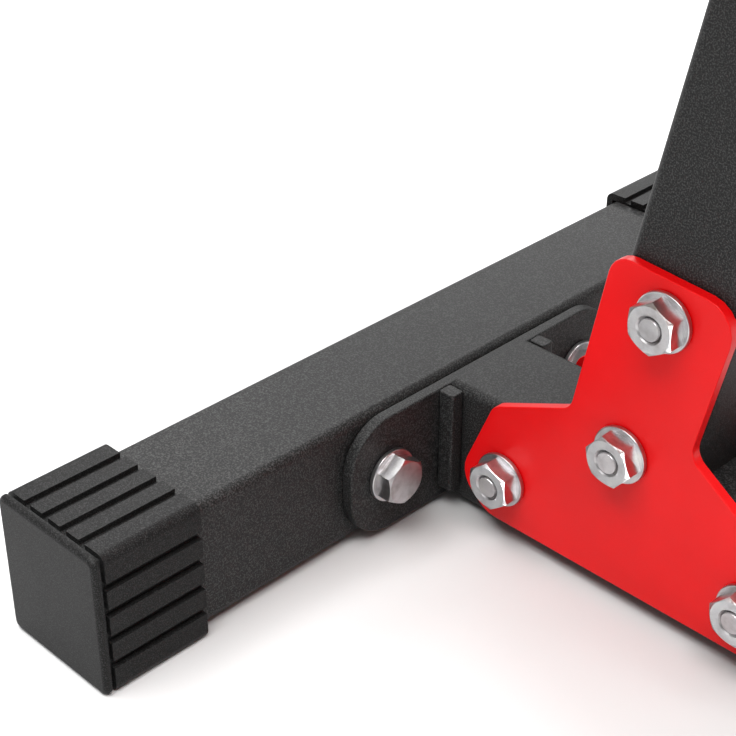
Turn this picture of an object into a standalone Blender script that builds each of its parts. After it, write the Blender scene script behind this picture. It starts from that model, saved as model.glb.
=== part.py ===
"""Adjustable weight bench: a bolted steel base, a leaning post, and a seat and a back that tilt on it.

Metres. X runs from the seat end (-X) to the head end (+X), Y across the bench, Z up, and the floor is
at Z = 0. The origin is on the floor under the middle of the bench. The bench lies flat, with both pull
pins drawn out and parked. NEAR is the -Y side and FAR the +Y side.
"""

import math

import bmesh
import bpy
from mathutils import Matrix, Vector

# Overall
LENGTH = 1.210
PAD_TOP = 0.442
GAP = 0.0003
NEAR = -1
FAR = 1

# Base tubes: the crossbars and the beam share one height and stand on the end caps
TUBE_HEIGHT = 0.050
TUBE_WALL = 0.0025
TUBE_RADIUS = 0.0035
CROSSBAR_WIDTH = 0.046
BEAM_WIDTH = 0.044
CAP_PROUD = 0.0031
CAP_LENGTH = 0.0435
CAP_END = 0.004
CAP_LAP = 0.5 * CAP_END
CAP_RADIUS = 0.006
CAP_GROOVES = 4
GROOVE_WIDTH = 0.0022
GROOVE_DEPTH = 0.0013
# Plain side beyond the outermost groove, in groove pitches
GROOVE_MARGIN = 0.58
FRONT_FOOT_LENGTH = 0.365
REAR_FOOT_LENGTH = 0.480
TUBE_BOTTOM = CAP_PROUD
TUBE_TOP = TUBE_BOTTOM + TUBE_HEIGHT
TUBE_MID = 0.5 * (TUBE_BOTTOM + TUBE_TOP)

# Places along the bench
HANDLE_FRONT_X = -0.5 * LENGTH
FOOT_FACE_X = HANDLE_FRONT_X + 0.140
REAR_FACE_X = FOOT_FACE_X + 0.955

# Bolted flanges between the beam's ends and the crossbars
FLANGE_THICK = 0.005
FLANGE_LENGTH = 0.145
FLANGE_RADIUS = 0.019
FLANGE_BOLT_Y = 0.0535
FLANGE_BOLT_Z = 0.0275
STRIP_THICK = 0.006
STRIP_DEPTH = 0.007
STRIP_BOTTOM = 0.0095
STRIP_TOP_DROP = 0.0012
STRIP_EDGE = 0.001

# Leaning post and the red plates at its foot
POST_LEAN = math.radians(11.6)
POST_DEPTH = 0.044
POST_FOOT_X = FOOT_FACE_X + 0.085
POST_LENGTH = 0.248
POST_SPARE = 0.020
TRIM_SIZE = 0.100
POST_DIR = Vector((math.sin(POST_LEAN), 0.0, math.cos(POST_LEAN)))
POST_ACROSS = Vector((math.cos(POST_LEAN), 0.0, -math.sin(POST_LEAN)))
PLATE_THICK = 0.004
GUSSET_BOLT_Z = 0.0272
GUSSET_FRONT_BOLT_X = 0.0362
GUSSET_REAR_BOLT_X = 0.1412
POST_BOLTS = (0.0102, 0.0670)
HEAD_BOLTS = (0.206, 0.233)
# Outline of the foot plate: distance behind the crossbar's face, height, corner radius
GUSSET_OUTLINE = (
    (0.0290, 0.0078, 0.012),
    (0.0150, 0.0195, 0.012),
    (0.0300, 0.0551, 0.007),
    (0.0640, 0.0702, 0.007),
    (0.0765, 0.1345, 0.008),
    (0.1250, 0.1310, 0.011),
    (0.1130, 0.0740, 0.007),
    (0.1470, 0.0510, 0.012),
    (0.1640, 0.0180, 0.012),
    (0.1480, 0.0078, 0.012),
)

# Head of the post: hinges, pull pins and the plates that carry them
HEAD_THICK = 0.006
HINGE_Z = 0.366
BACK_HINGE = Vector((FOOT_FACE_X + 0.228, 0.0, HINGE_Z))
SEAT_HINGE = Vector((FOOT_FACE_X + 0.140, 0.0, HINGE_Z))
HINGE_LOBE = 0.014
PIN_LOBE = 0.016
POST_LOBE = 0.024
DIP_DEPTH = 0.020
DIP_HALF = 0.014
BACK_PIN_ANGLE = math.radians(-60)
BACK_HOLE_RADIUS = 0.090
BACK_ANGLES = (0, 15, 30, 45, 60, 75)
SEAT_PIN_ANGLE = math.radians(205)
SEAT_HOLE_RADIUS = 0.078
SEAT_ANGLES = (0, 10, 20)
SECTOR_MARGIN = 0.012
SECTOR_THICK = 0.006
SECTOR_INNER_Y = 0.011
# Ends of each sector's arc, in degrees, and of its top edge, from its hinge
SEAT_SECTOR_ARC = (198, 234)
SEAT_SECTOR_TOP = (-0.015, -0.082)
BACK_SECTOR_ARC = (-143, -52)
BACK_SECTOR_TOP = (0.075, -0.015)

# Seat and back frames
RAIL_WIDTH = 0.038
RAIL_HEIGHT = 0.034
RAIL_BOTTOM = 0.344
RAIL_TOP = RAIL_BOTTOM + RAIL_HEIGHT
RAIL_OVERRUN = 0.018
SEAT_RAIL_FRONT = FOOT_FACE_X - 0.080
BACK_RAIL_REAR = FOOT_FACE_X + 0.990
BRACKET_THICK = 0.0034
BRACKET_WIDTH = 0.040
BRACKET_SPAN = 0.230
BRACKET_CORNER = 0.006
SEAT_BRACKETS = (FOOT_FACE_X - 0.052, FOOT_FACE_X + 0.060)
BACK_BRACKETS = (FOOT_FACE_X + 0.400, FOOT_FACE_X + 0.900)
BOARD_THICK = 0.012
BOARD_INSET = 0.010
BOARD_CORNER = 0.020
BOARD_BOTTOM = RAIL_TOP + GAP + BRACKET_THICK + GAP
PAD_WIDTH = 0.270
PAD_CORNER = 0.028
PAD_EDGE = 0.012
SEAT_PAD_FRONT = FOOT_FACE_X - 0.095
SEAT_PAD_REAR = BACK_HINGE.x - 0.030
BACK_PAD_FRONT = BACK_HINGE.x + 0.070
BACK_PAD_REAR = 0.5 * LENGTH

# Plugs in the rails' open ends
PLUG_HEAD = 0.003
PLUG_DEPTH = 0.016

# Grab handle at the front of the seat
HANDLE_RADIUS = 0.009
HANDLE_HALF = 0.058
HANDLE_BEND = 0.030
HANDLE_LEG_END = FOOT_FACE_X - 0.035

# Rest post under the back
REST_POST_X = FOOT_FACE_X + 0.840
REST_WIDTH = 0.038
BUMPER_THICK = 0.014
BUMPER_OVERHANG = 0.003
BUMPER_CORNER = 0.006

# Fasteners: M10 for the frame, M12 for the hinges
M10 = {"shank": 0.0050, "across_flats": 0.0165, "washer": 0.0105, "head": 0.0064, "nut": 0.0064}
M12 = {"shank": 0.0060, "across_flats": 0.0180, "washer": 0.0120, "head": 0.0075, "nut": 0.0100}
WASHER_THICK = 0.002
BOLT_STAND_OUT = 0.0004
HOLE_PLAY = 0.0005
ROUND_STEPS = 16
WHEEL_STEPS = 28

# Hinge bushes
BUSH_RADIUS = 0.0085
BUSH_FLANGE = 0.0110
BUSH_FLANGE_THICK = 0.0028

# Pull pins: drawn out at rest, and pushed in by PIN_TRAVEL to lock
PIN_RADIUS = 0.004
PIN_TRAVEL = 0.011
PIN_TIP_Y = 0.019
PIN_END_Y = 0.084
BARREL_RADIUS = 0.011
BARREL_LENGTH = 0.026
BARREL_TAPER = 0.85
PIN_CHAMFER = 0.0012
KNOB_RADIUS = 0.017
KNOB_INNER_Y = 0.069
KNOB_OUTER_Y = 0.097
KNOB_NECK_RADIUS = 0.0102
KNOB_NECK_LENGTH = 0.003

# Transport wheels on the rear crossbar
WHEEL_RADIUS = 0.030
WHEEL_WIDTH = 0.022
WHEEL_BORE = 0.0056
WHEEL_X = REAR_FACE_X + CROSSBAR_WIDTH + 0.033
WHEEL_Z = 0.0325
WHEEL_TREAD_EDGE = 0.003
# The web between hub and rim: its inner and outer radius and its half width, as shares of the wheel's
WEB_INNER = 0.6
WEB_OUTER = 0.8
WEB_HALF = 0.6
WHEEL_PLAY = 0.0025
AXLE_PLAY = 0.001
WHEEL_EAR_Y = 0.150
EAR_THICK = 0.005
# Outline of the ear behind the crossbar: root heights, end heights, reach past the axle, radii
EAR_ROOT = (0.0100, 0.0500)
EAR_TIP = (0.0180, 0.0470)
EAR_REACH = 0.013
EAR_ROOT_RADIUS = 0.002
EAR_TIP_RADIUS = 0.012

FRAME_BLACK = ("frame_black", (0.035, 0.035, 0.036), 0.55, 0.3)
PLATE_RED = ("plate_red", (0.64, 0.005, 0.008), 0.35, 0.1)
ZINC = ("zinc", (0.62, 0.61, 0.60), 0.30, 1.0)
CAP_PLASTIC = ("cap_plastic", (0.032, 0.032, 0.033), 0.50, 0.0)
PAD_VINYL = ("pad_vinyl", (0.022, 0.022, 0.024), 0.55, 0.0)
BOARD_WOOD = ("board_wood", (0.42, 0.28, 0.16), 0.75, 0.0)
RUBBER = ("rubber", (0.020, 0.020, 0.020), 0.85, 0.0)
BUSH_NYLON = ("bush_nylon", (0.72, 0.70, 0.64), 0.45, 0.0)


def start_empty():
    """Remove what is in the scene and make the two collections."""
    for obj in list(bpy.data.objects):
        bpy.data.objects.remove(obj, do_unlink=True)
    made = []
    for name in ("weight_bench", "cutters"):
        collection = bpy.data.collections.new(name)
        bpy.context.scene.collection.children.link(collection)
        made.append(collection)
    return made


PARTS, CUTTERS = start_empty()


# Placing and finishing

def place(origin, x_dir, y_dir):
    """A frame whose X and Y are the two directions given, and whose Z is square to both."""
    x_dir = Vector(x_dir)
    y_dir = Vector(y_dir)
    frame = Matrix((x_dir, y_dir, x_dir.cross(y_dir))).transposed().to_4x4()
    frame.translation = Vector(origin)
    return frame


def along_x(x, y=0.0, z=0.0):
    """Outlines in YZ, extruded along X."""
    return place((x, y, z), (0, 1, 0), (0, 0, 1))


def along_y(y, x=0.0, z=0.0):
    """Outlines in XZ, extruded along Y."""
    return place((x, y, z), (1, 0, 0), (0, 0, 1))


def along_z(z, x=0.0, y=0.0):
    """Outlines in XY, extruded along Z."""
    return place((x, y, z), (1, 0, 0), (0, 1, 0))


def toward(start, end):
    """A frame at start whose Z points at end."""
    start = Vector(start)
    direction = Vector(end) - start
    frame = direction.to_track_quat("Z", "Y").to_matrix().to_4x4()
    frame.translation = start
    return frame


def material(spec):
    name, colour, roughness, metallic = spec
    made = bpy.data.materials.get(name)
    if made is None:
        made = bpy.data.materials.new(name)
        made.use_nodes = True
        shader = made.node_tree.nodes["Principled BSDF"]
        shader.inputs["Base Color"].default_value = (*colour, 1.0)
        shader.inputs["Roughness"].default_value = roughness
        shader.inputs["Metallic"].default_value = metallic
    return made


def mark_helper(obj):
    obj.hide_render = True
    obj.display_type = "WIRE"


def new_object(name, data, frame, spec=None):
    """Link an object of the design; one with no finish is a cutter or a filler."""
    obj = bpy.data.objects.new(name, data)
    obj.matrix_world = frame
    if spec is None:
        CUTTERS.objects.link(obj)
        mark_helper(obj)
    else:
        PARTS.objects.link(obj)
        data.materials.append(material(spec))
    return obj


def hinge_empty(name, location):
    empty = bpy.data.objects.new(name, None)
    empty.location = location
    PARTS.objects.link(empty)
    return empty


def ride(empty, pieces):
    """Parent the pieces of a moving body to the empty on its joint's axis."""
    bpy.context.view_layer.update()
    for piece in pieces:
        piece.parent = empty
        piece.matrix_parent_inverse = empty.matrix_world.inverted()


# Outlines

def arc(centre, radius, start, end, steps=8):
    """Points on an arc, angles in degrees."""
    points = []
    for i in range(steps + 1):
        angle = math.radians(start + (end - start) * i / steps)
        points.append((centre[0] + radius * math.cos(angle), centre[1] + radius * math.sin(angle)))
    return points


def circle(centre, radius):
    return arc(centre, radius, 0, 360, ROUND_STEPS)[:-1]


def filleted(corners, steps=5):
    """Round each corner (x, y, radius) of a polygon with an arc of short chords."""
    points = []
    for i, (x, y, radius) in enumerate(corners):
        here = Vector((x, y))
        before = (Vector(corners[i - 1][:2]) - here).normalized()
        after = (Vector(corners[(i + 1) % len(corners)][:2]) - here).normalized()
        half = 0.5 * before.angle(after)
        centre = here + (before + after).normalized() * (radius / math.sin(half))
        start = here + before * (radius / math.tan(half)) - centre
        end = here + after * (radius / math.tan(half)) - centre
        turn = start.angle_signed(end)
        for step in range(steps + 1):
            angle = -turn * step / steps
            spoke = Vector((
                start.x * math.cos(angle) - start.y * math.sin(angle),
                start.x * math.sin(angle) + start.y * math.cos(angle),
            ))
            points.append(tuple(centre + spoke))
    return points


def rounded_box(width, height, radius, steps=4):
    x = 0.5 * width
    y = 0.5 * height
    return filleted(((-x, -y, radius), (x, -y, radius), (x, y, radius), (-x, y, radius)), steps)


def pad_outline(front, rear, width, corner):
    """Plan of a pad or board, counted from the middle of its length."""
    return rounded_box(rear - front, width, corner, 6)


# Solids

def extruded(name, outlines, frame, length, spec):
    """A flat outline, with its holes, given a thickness along the frame's Z."""
    curve = bpy.data.curves.new(name, "CURVE")
    curve.dimensions = "2D"
    curve.fill_mode = "BOTH"
    curve.extrude = 0.5 * length
    for outline in outlines:
        spline = curve.splines.new("POLY")
        spline.points.add(len(outline) - 1)
        for point, (x, y) in zip(spline.points, outline):
            point.co = (x, y, 0.0, 1.0)
        spline.use_cyclic_u = True
    return new_object(name, curve, frame, spec)


def as_mesh(obj):
    """Turn a curve object into a welded mesh object, which Boolean modifiers can cut."""
    bpy.context.view_layer.update()
    evaluated = obj.evaluated_get(bpy.context.evaluated_depsgraph_get())
    data = bpy.data.meshes.new_from_object(evaluated)
    welded = bmesh.new()
    welded.from_mesh(data)
    bmesh.ops.remove_doubles(welded, verts=welded.verts, dist=0.00001)
    welded.to_mesh(data)
    welded.free()
    name = obj.name
    collection = obj.users_collection[0]
    frame = obj.matrix_world.copy()
    helper = obj.hide_render
    bpy.data.objects.remove(obj, do_unlink=True)
    solid = bpy.data.objects.new(name, data)
    solid.matrix_world = frame
    collection.objects.link(solid)
    if helper:
        mark_helper(solid)
    return solid


def tube(name, frame, width, height, length, spec=FRAME_BLACK):
    """A square tube with round corners, open at both ends."""
    outer = rounded_box(width, height, TUBE_RADIUS)
    inner = rounded_box(width - 2 * TUBE_WALL, height - 2 * TUBE_WALL, TUBE_RADIUS - 0.5 * TUBE_WALL)
    return as_mesh(extruded(name, (outer, inner), frame, length, spec))


def cylinder(name, start, end, radius, segments=ROUND_STEPS):
    """A filler or cutter between two points."""
    length = (Vector(end) - Vector(start)).length
    shape = bmesh.new()
    bmesh.ops.create_cone(
        shape, cap_ends=True, segments=segments, radius1=radius, radius2=radius, depth=length,
        matrix=Matrix.Translation((0, 0, 0.5 * length)),
    )
    data = bpy.data.meshes.new(name)
    shape.to_mesh(data)
    shape.free()
    return new_object(name, data, toward(start, end))


def boolean(obj, other, operation):
    modifier = obj.modifiers.new(f"{operation.lower()}_{other.name}", "BOOLEAN")
    modifier.operation = operation
    modifier.object = other


def drill(obj, centre, direction, radius, reach=0.08):
    """A round hole right through, both ways from its centre."""
    direction = Vector(direction)
    centre = Vector(centre)
    cutter = cylinder(f"drill_{obj.name}", centre - direction * reach, centre + direction * reach, radius)
    boolean(obj, cutter, "DIFFERENCE")


def turned(name, profile, frame, spec, closed=False, steps=ROUND_STEPS):
    """A profile (radius, height), listed down its outer side, turned about the frame's Z."""
    data = bpy.data.meshes.new(name)
    edges = [(i, i + 1) for i in range(len(profile) - 1)]
    if closed:
        edges.append((len(profile) - 1, 0))
    data.from_pydata([(radius, 0.0, height) for radius, height in profile], edges, [])
    obj = new_object(name, data, frame, spec)
    screw = obj.modifiers.new("turn", "SCREW")
    screw.steps = steps
    screw.render_steps = steps
    screw.use_merge_vertices = True
    screw.merge_threshold = 0.00001
    screw.use_smooth_shade = True
    return obj


def bolt(name, start, end, size=M10, spec=ZINC):
    """Hex bolt with a washer and a nut: start and end are the outer faces that it clamps."""
    grip = (Vector(end) - Vector(start)).length
    shank = size["shank"]
    washer = size["washer"]
    hex_radius = size["across_flats"] / math.sqrt(3)
    nut_top = grip + GAP + WASHER_THICK + size["nut"]
    profile = (
        (0.0, nut_top + BOLT_STAND_OUT),
        (shank, nut_top + BOLT_STAND_OUT),
        (shank, grip + GAP + WASHER_THICK),
        (washer, grip + GAP + WASHER_THICK),
        (washer, grip + GAP),
        (shank, grip + GAP),
        (shank, -GAP),
        (washer, -GAP),
        (washer, -GAP - WASHER_THICK),
        (0.0, -GAP - WASHER_THICK),
    )
    frame = toward(start, end)
    obj = turned(name, profile, frame, spec)
    head_top = -GAP - WASHER_THICK - size["head"]
    sink = 0.5 * WASHER_THICK
    for label, low, high in (
        ("head", head_top, -GAP - sink),
        ("nut", grip + GAP + sink, nut_top),
    ):
        hexagon = cylinder(
            f"{label}_{name}", frame @ Vector((0, 0, low)), frame @ Vector((0, 0, high)), hex_radius, 6
        )
        boolean(obj, hexagon, "UNION")
    return obj


# Base

def cap_outline(width, height):
    """Section of an end cap: grooves along its top and its two upright sides, and a flat sole."""
    x = 0.5 * width
    z = 0.5 * height
    half = 0.5 * GROOVE_WIDTH
    points = arc((-x + CAP_RADIUS, -z + CAP_RADIUS), CAP_RADIUS, 180, 270, 4)
    points += arc((x - CAP_RADIUS, -z + CAP_RADIUS), CAP_RADIUS, 270, 360, 4)
    pitches = CAP_GROOVES - 1 + 2 * GROOVE_MARGIN
    side_pitch = (height - 2 * CAP_RADIUS) / pitches
    top_pitch = (width - 2 * CAP_RADIUS) / pitches
    offsets = [i - 0.5 * (CAP_GROOVES - 1) for i in range(CAP_GROOVES)]
    for offset in offsets:
        level = offset * side_pitch
        points += [(x, level - half), (x - GROOVE_DEPTH, level - half)]
        points += [(x - GROOVE_DEPTH, level + half), (x, level + half)]
    points += arc((x - CAP_RADIUS, z - CAP_RADIUS), CAP_RADIUS, 0, 90, 4)
    for offset in reversed(offsets):
        across = offset * top_pitch
        points += [(across + half, z), (across + half, z - GROOVE_DEPTH)]
        points += [(across - half, z - GROOVE_DEPTH), (across - half, z)]
    points += arc((-x + CAP_RADIUS, z - CAP_RADIUS), CAP_RADIUS, 90, 180, 4)
    for offset in reversed(offsets):
        level = offset * side_pitch
        points += [(-x, level + half), (-x + GROOVE_DEPTH, level + half)]
        points += [(-x + GROOVE_DEPTH, level - half), (-x, level - half)]
    return points


def end_cap(name, crossbar_x, side, foot_length):
    """A ribbed plastic cap: a grooved sleeve over the tube's end, closed by a plain end plate."""
    width = CROSSBAR_WIDTH + 2 * CAP_PROUD
    height = TUBE_HEIGHT + 2 * CAP_PROUD
    pocket = rounded_box(CROSSBAR_WIDTH + 2 * GAP, TUBE_HEIGHT + 2 * GAP, TUBE_RADIUS)
    sleeve_length = CAP_LENGTH - CAP_END
    end_y = 0.5 * foot_length
    sleeve_y = side * (end_y - CAP_END - 0.5 * sleeve_length)
    sleeve = as_mesh(extruded(
        name, (cap_outline(width, height), pocket), along_y(sleeve_y, crossbar_x, TUBE_MID),
        sleeve_length, CAP_PLASTIC,
    ))
    plate_length = CAP_END + CAP_LAP
    plate = as_mesh(extruded(
        f"plate_{name}", (rounded_box(width, height, CAP_RADIUS),),
        along_y(side * (end_y - 0.5 * plate_length), crossbar_x, TUBE_MID), plate_length, None,
    ))
    boolean(sleeve, plate, "UNION")
    return sleeve


def crossbar(label, face_x, foot_length, flange_side):
    """A floor tube with its two caps; flange_side is the side, in X, that the beam's flange bolts to."""
    middle = face_x - flange_side * 0.5 * CROSSBAR_WIDTH
    tube_length = foot_length - 2 * (CAP_END + CAP_LAP + GAP)
    bar = tube(f"{label}_crossbar", along_y(0.0, middle, TUBE_MID), CROSSBAR_WIDTH, TUBE_HEIGHT, tube_length)
    for side, word in ((NEAR, "near"), (FAR, "far")):
        drill(bar, (middle, side * FLANGE_BOLT_Y, FLANGE_BOLT_Z), (1, 0, 0), M10["shank"] + HOLE_PLAY)
        end_cap(f"{label}_cap_{word}", middle, side, foot_length)


def flange(label, face_x, direction):
    """Plate on the beam's end and the two bolts that hold it to the crossbar."""
    middle = face_x + direction * (GAP + 0.5 * FLANGE_THICK)
    height = TUBE_HEIGHT - GAP
    outline = rounded_box(FLANGE_LENGTH, height, FLANGE_RADIUS, 6)
    holes = []
    for side in (NEAR, FAR):
        holes.append(circle((side * FLANGE_BOLT_Y, FLANGE_BOLT_Z - TUBE_MID), M10["shank"] + HOLE_PLAY))
    extruded(f"{label}_flange", (outline, *holes), along_x(middle, 0.0, TUBE_MID), FLANGE_THICK, FRAME_BLACK)
    outer = face_x + direction * (GAP + FLANGE_THICK)
    back = face_x - direction * CROSSBAR_WIDTH
    for side, word in ((NEAR, "near"), (FAR, "far")):
        y = side * FLANGE_BOLT_Y
        bolt(f"{label}_flange_bolt_{word}", (outer, y, FLANGE_BOLT_Z), (back, y, FLANGE_BOLT_Z))


def front_strips():
    """Upright bars in the corners between the front flange and the beam's sides."""
    x = FOOT_FACE_X + FLANGE_THICK + 2 * GAP + 0.5 * STRIP_DEPTH
    height = TUBE_TOP - STRIP_TOP_DROP - STRIP_BOTTOM
    for side, word in ((NEAR, "near"), (FAR, "far")):
        y = side * (0.5 * BEAM_WIDTH + GAP + 0.5 * STRIP_THICK)
        extruded(
            f"front_strip_{word}", (rounded_box(STRIP_DEPTH, STRIP_THICK, STRIP_EDGE, 2),),
            along_z(STRIP_BOTTOM + 0.5 * height, x, y), height, FRAME_BLACK,
        )


def post_point(distance):
    """A point on the post's centre line, at a distance from its foot."""
    return Vector((POST_FOOT_X, 0.0, TUBE_TOP)) + POST_DIR * distance


def gusset_bolt_places():
    front = Vector((FOOT_FACE_X + GUSSET_FRONT_BOLT_X, 0.0, GUSSET_BOLT_Z))
    rear = Vector((FOOT_FACE_X + GUSSET_REAR_BOLT_X, 0.0, GUSSET_BOLT_Z))
    return [front, *(post_point(distance) for distance in POST_BOLTS), rear]


def main_beam():
    start = FOOT_FACE_X + FLANGE_THICK + 2 * GAP
    end = REAR_FACE_X - FLANGE_THICK - 2 * GAP
    middle = 0.5 * (start + end)
    beam = tube("main_beam", along_x(middle, 0.0, TUBE_MID), BEAM_WIDTH, TUBE_HEIGHT, end - start)
    bolts = gusset_bolt_places()
    for centre in (bolts[0], bolts[-1]):
        drill(beam, centre, (0, 1, 0), M10["shank"] + HOLE_PLAY)


def post():
    """Tube that leans back from the beam; its foot is cut level to sit on the beam's top."""
    length = POST_LENGTH + POST_SPARE
    middle = post_point(0.5 * (POST_LENGTH - POST_SPARE))
    frame = place(middle, POST_ACROSS, (0, 1, 0))
    upright = tube("post", frame, POST_DEPTH, BEAM_WIDTH, length)
    block = extruded(
        "foot_trim", (rounded_box(TRIM_SIZE, TRIM_SIZE, TUBE_RADIUS),),
        along_y(0.0, POST_FOOT_X, TUBE_TOP + GAP - 0.5 * TRIM_SIZE), TRIM_SIZE, None,
    )
    boolean(upright, as_mesh(block), "DIFFERENCE")
    for distance in (*POST_BOLTS, *HEAD_BOLTS):
        drill(upright, post_point(distance), (0, 1, 0), M10["shank"] + HOLE_PLAY)


def gusset_plates():
    """Red plates that tie the post's foot to the beam, and their four bolts."""
    outline = filleted([(FOOT_FACE_X + x, z, radius) for x, z, radius in GUSSET_OUTLINE])
    bolts = gusset_bolt_places()
    holes = [circle((centre.x, centre.z), M10["shank"] + HOLE_PLAY) for centre in bolts]
    inner = 0.5 * BEAM_WIDTH + GAP
    for side, word in ((NEAR, "near"), (FAR, "far")):
        y = side * (inner + 0.5 * PLATE_THICK)
        extruded(f"gusset_plate_{word}", (outline, *holes), along_y(y), PLATE_THICK, PLATE_RED)
    reach = Vector((0.0, inner + PLATE_THICK, 0.0))
    for number, centre in enumerate(bolts, 1):
        bolt(f"gusset_bolt_{number}", centre + reach, centre - reach)


# Head of the post

def polar(centre, radius, angle):
    return Vector((centre.x + radius * math.cos(angle), 0.0, centre.z + radius * math.sin(angle)))


BACK_PIN = polar(BACK_HINGE, BACK_HOLE_RADIUS, BACK_PIN_ANGLE)
SEAT_PIN = polar(SEAT_HINGE, SEAT_HOLE_RADIUS, SEAT_PIN_ANGLE)


def head_plates():
    """Red plates on the post's head: a lobe round each hinge and pull pin, and one round the post."""
    low = post_point(HEAD_BOLTS[0])
    dip = (0.5 * (SEAT_HINGE.x + BACK_HINGE.x), HINGE_Z - DIP_DEPTH)
    outline = arc((low.x, low.z), POST_LOBE, -60, -150)
    outline += arc((SEAT_PIN.x, SEAT_PIN.z), PIN_LOBE, -135, -250)
    outline += arc((SEAT_HINGE.x, SEAT_HINGE.z), HINGE_LOBE, 112, 35)
    outline += [(dip[0] - DIP_HALF, dip[1]), (dip[0] + DIP_HALF, dip[1])]
    outline += arc((BACK_HINGE.x, BACK_HINGE.z), HINGE_LOBE, 145, 30)
    outline += arc((BACK_PIN.x, BACK_PIN.z), PIN_LOBE, 22, -75)
    places = [(BACK_HINGE, M12), (SEAT_HINGE, M12)]
    places += [(post_point(distance), M10) for distance in HEAD_BOLTS]
    inner = 0.5 * BEAM_WIDTH + GAP
    for side, word, pin in ((NEAR, "near", BACK_PIN), (FAR, "far", SEAT_PIN)):
        holes = [circle((centre.x, centre.z), size["shank"] + HOLE_PLAY) for centre, size in places]
        holes.append(circle((pin.x, pin.z), PIN_RADIUS + 2 * HOLE_PLAY))
        y = side * (inner + 0.5 * HEAD_THICK)
        extruded(f"head_plate_{word}", (outline, *holes), along_y(y), HEAD_THICK, PLATE_RED)
    reach = Vector((0.0, inner + HEAD_THICK, 0.0))
    for word, distance in zip(("lower", "upper"), HEAD_BOLTS):
        centre = post_point(distance)
        bolt(f"head_bolt_{word}", centre + reach, centre - reach)
    bolt("back_pivot_bolt", BACK_HINGE + reach, BACK_HINGE - reach, M12)
    bolt("seat_pivot_bolt", SEAT_HINGE + reach, SEAT_HINGE - reach, M12)


def bush(name, hinge):
    """Spool on the pivot bolt: it lines the rail's cross hole and keeps the rail off the head plates."""
    half = 0.5 * BEAM_WIDTH - GAP
    neck = 0.5 * RAIL_WIDTH + GAP
    bore = M12["shank"] + HOLE_PLAY
    profile = (
        (bore, half), (BUSH_FLANGE, half), (BUSH_FLANGE, neck), (BUSH_RADIUS, neck),
        (BUSH_RADIUS, -neck), (BUSH_FLANGE, -neck), (BUSH_FLANGE, -half), (bore, -half),
    )
    return turned(name, profile, toward(hinge, hinge + Vector((0, 1, 0))), BUSH_NYLON, closed=True)


def sector(name, hinge, radius, hole_angles, ends, top_ends, y):
    """Plate with a hole for each position, welded under the rail that tilts about the hinge."""
    outline = arc((hinge.x, hinge.z), radius + SECTOR_MARGIN, *ends, 14)
    outline += [(hinge.x + offset, RAIL_BOTTOM - GAP) for offset in top_ends]
    holes = []
    for angle in hole_angles:
        centre = polar(hinge, radius, angle)
        holes.append(circle((centre.x, centre.z), PIN_RADIUS + 2 * HOLE_PLAY))
    return extruded(name, (outline, *holes), along_y(y), SECTOR_THICK, PLATE_RED)


def pull_pin(label, centre, side):
    """Barrel on the head plate, and the sliding pin with its knob."""
    outward = Vector((0.0, side, 0.0))
    outer = 0.5 * BEAM_WIDTH + GAP + HEAD_THICK + GAP
    bore = PIN_RADIUS + HOLE_PLAY
    foot = centre + outward * outer
    turned(
        f"{label}_pin_barrel",
        (
            (bore, BARREL_LENGTH), (BARREL_TAPER * BARREL_RADIUS, BARREL_LENGTH),
            (BARREL_RADIUS, BARREL_TAPER * BARREL_LENGTH), (BARREL_RADIUS, 0.0), (bore, 0.0),
        ),
        toward(foot, foot + outward), ZINC, closed=True,
    )
    frame = toward(centre, centre + outward)
    pin = turned(
        f"{label}_pull_pin",
        (
            (0.0, PIN_END_Y), (PIN_RADIUS, PIN_END_Y), (PIN_RADIUS, PIN_TIP_Y + PIN_CHAMFER),
            (PIN_RADIUS - PIN_CHAMFER, PIN_TIP_Y), (0.0, PIN_TIP_Y),
        ),
        frame, ZINC,
    )
    socket = PIN_RADIUS + GAP
    dome = arc((0.0, KNOB_OUTER_Y - KNOB_RADIUS), KNOB_RADIUS, 88, 0, 7)
    knob = turned(
        f"{label}_pin_knob",
        (
            (0.0, KNOB_OUTER_Y), *dome, (KNOB_NECK_RADIUS, KNOB_INNER_Y + KNOB_NECK_LENGTH),
            (KNOB_NECK_RADIUS, KNOB_INNER_Y), (socket, KNOB_INNER_Y),
            (socket, PIN_END_Y + GAP), (0.0, PIN_END_Y + GAP),
        ),
        frame, CAP_PLASTIC,
    )
    ride(hinge_empty(f"{label}_pin_slide", centre), (pin, knob))


# Seat and back

def rail(name, front, rear, hinge):
    beam = tube(
        name, along_x(0.5 * (front + rear), 0.0, 0.5 * (RAIL_BOTTOM + RAIL_TOP)),
        RAIL_WIDTH, RAIL_HEIGHT, rear - front,
    )
    drill(beam, hinge, (0, 1, 0), BUSH_RADIUS + GAP)
    return beam


def rail_plug(name, x, direction):
    """Plastic plug in a rail's open end: direction points out of the tube."""
    height = RAIL_HEIGHT - 2 * TUBE_WALL - 2 * GAP
    width = RAIL_WIDTH - 2 * TUBE_WALL - 2 * GAP
    middle = 0.5 * (RAIL_BOTTOM + RAIL_TOP)
    plug = as_mesh(extruded(
        name, (rounded_box(RAIL_WIDTH, RAIL_HEIGHT, TUBE_RADIUS),),
        along_x(x + direction * (GAP + 0.5 * PLUG_HEAD), 0.0, middle), PLUG_HEAD, CAP_PLASTIC,
    ))
    body = as_mesh(extruded(
        f"body_{name}", (rounded_box(width, height, TUBE_RADIUS - 0.5 * TUBE_WALL),),
        along_x(x + direction * 0.5 * (PLUG_HEAD - PLUG_DEPTH), 0.0, middle), PLUG_DEPTH, None,
    ))
    boolean(plug, body, "UNION")
    return plug


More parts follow.
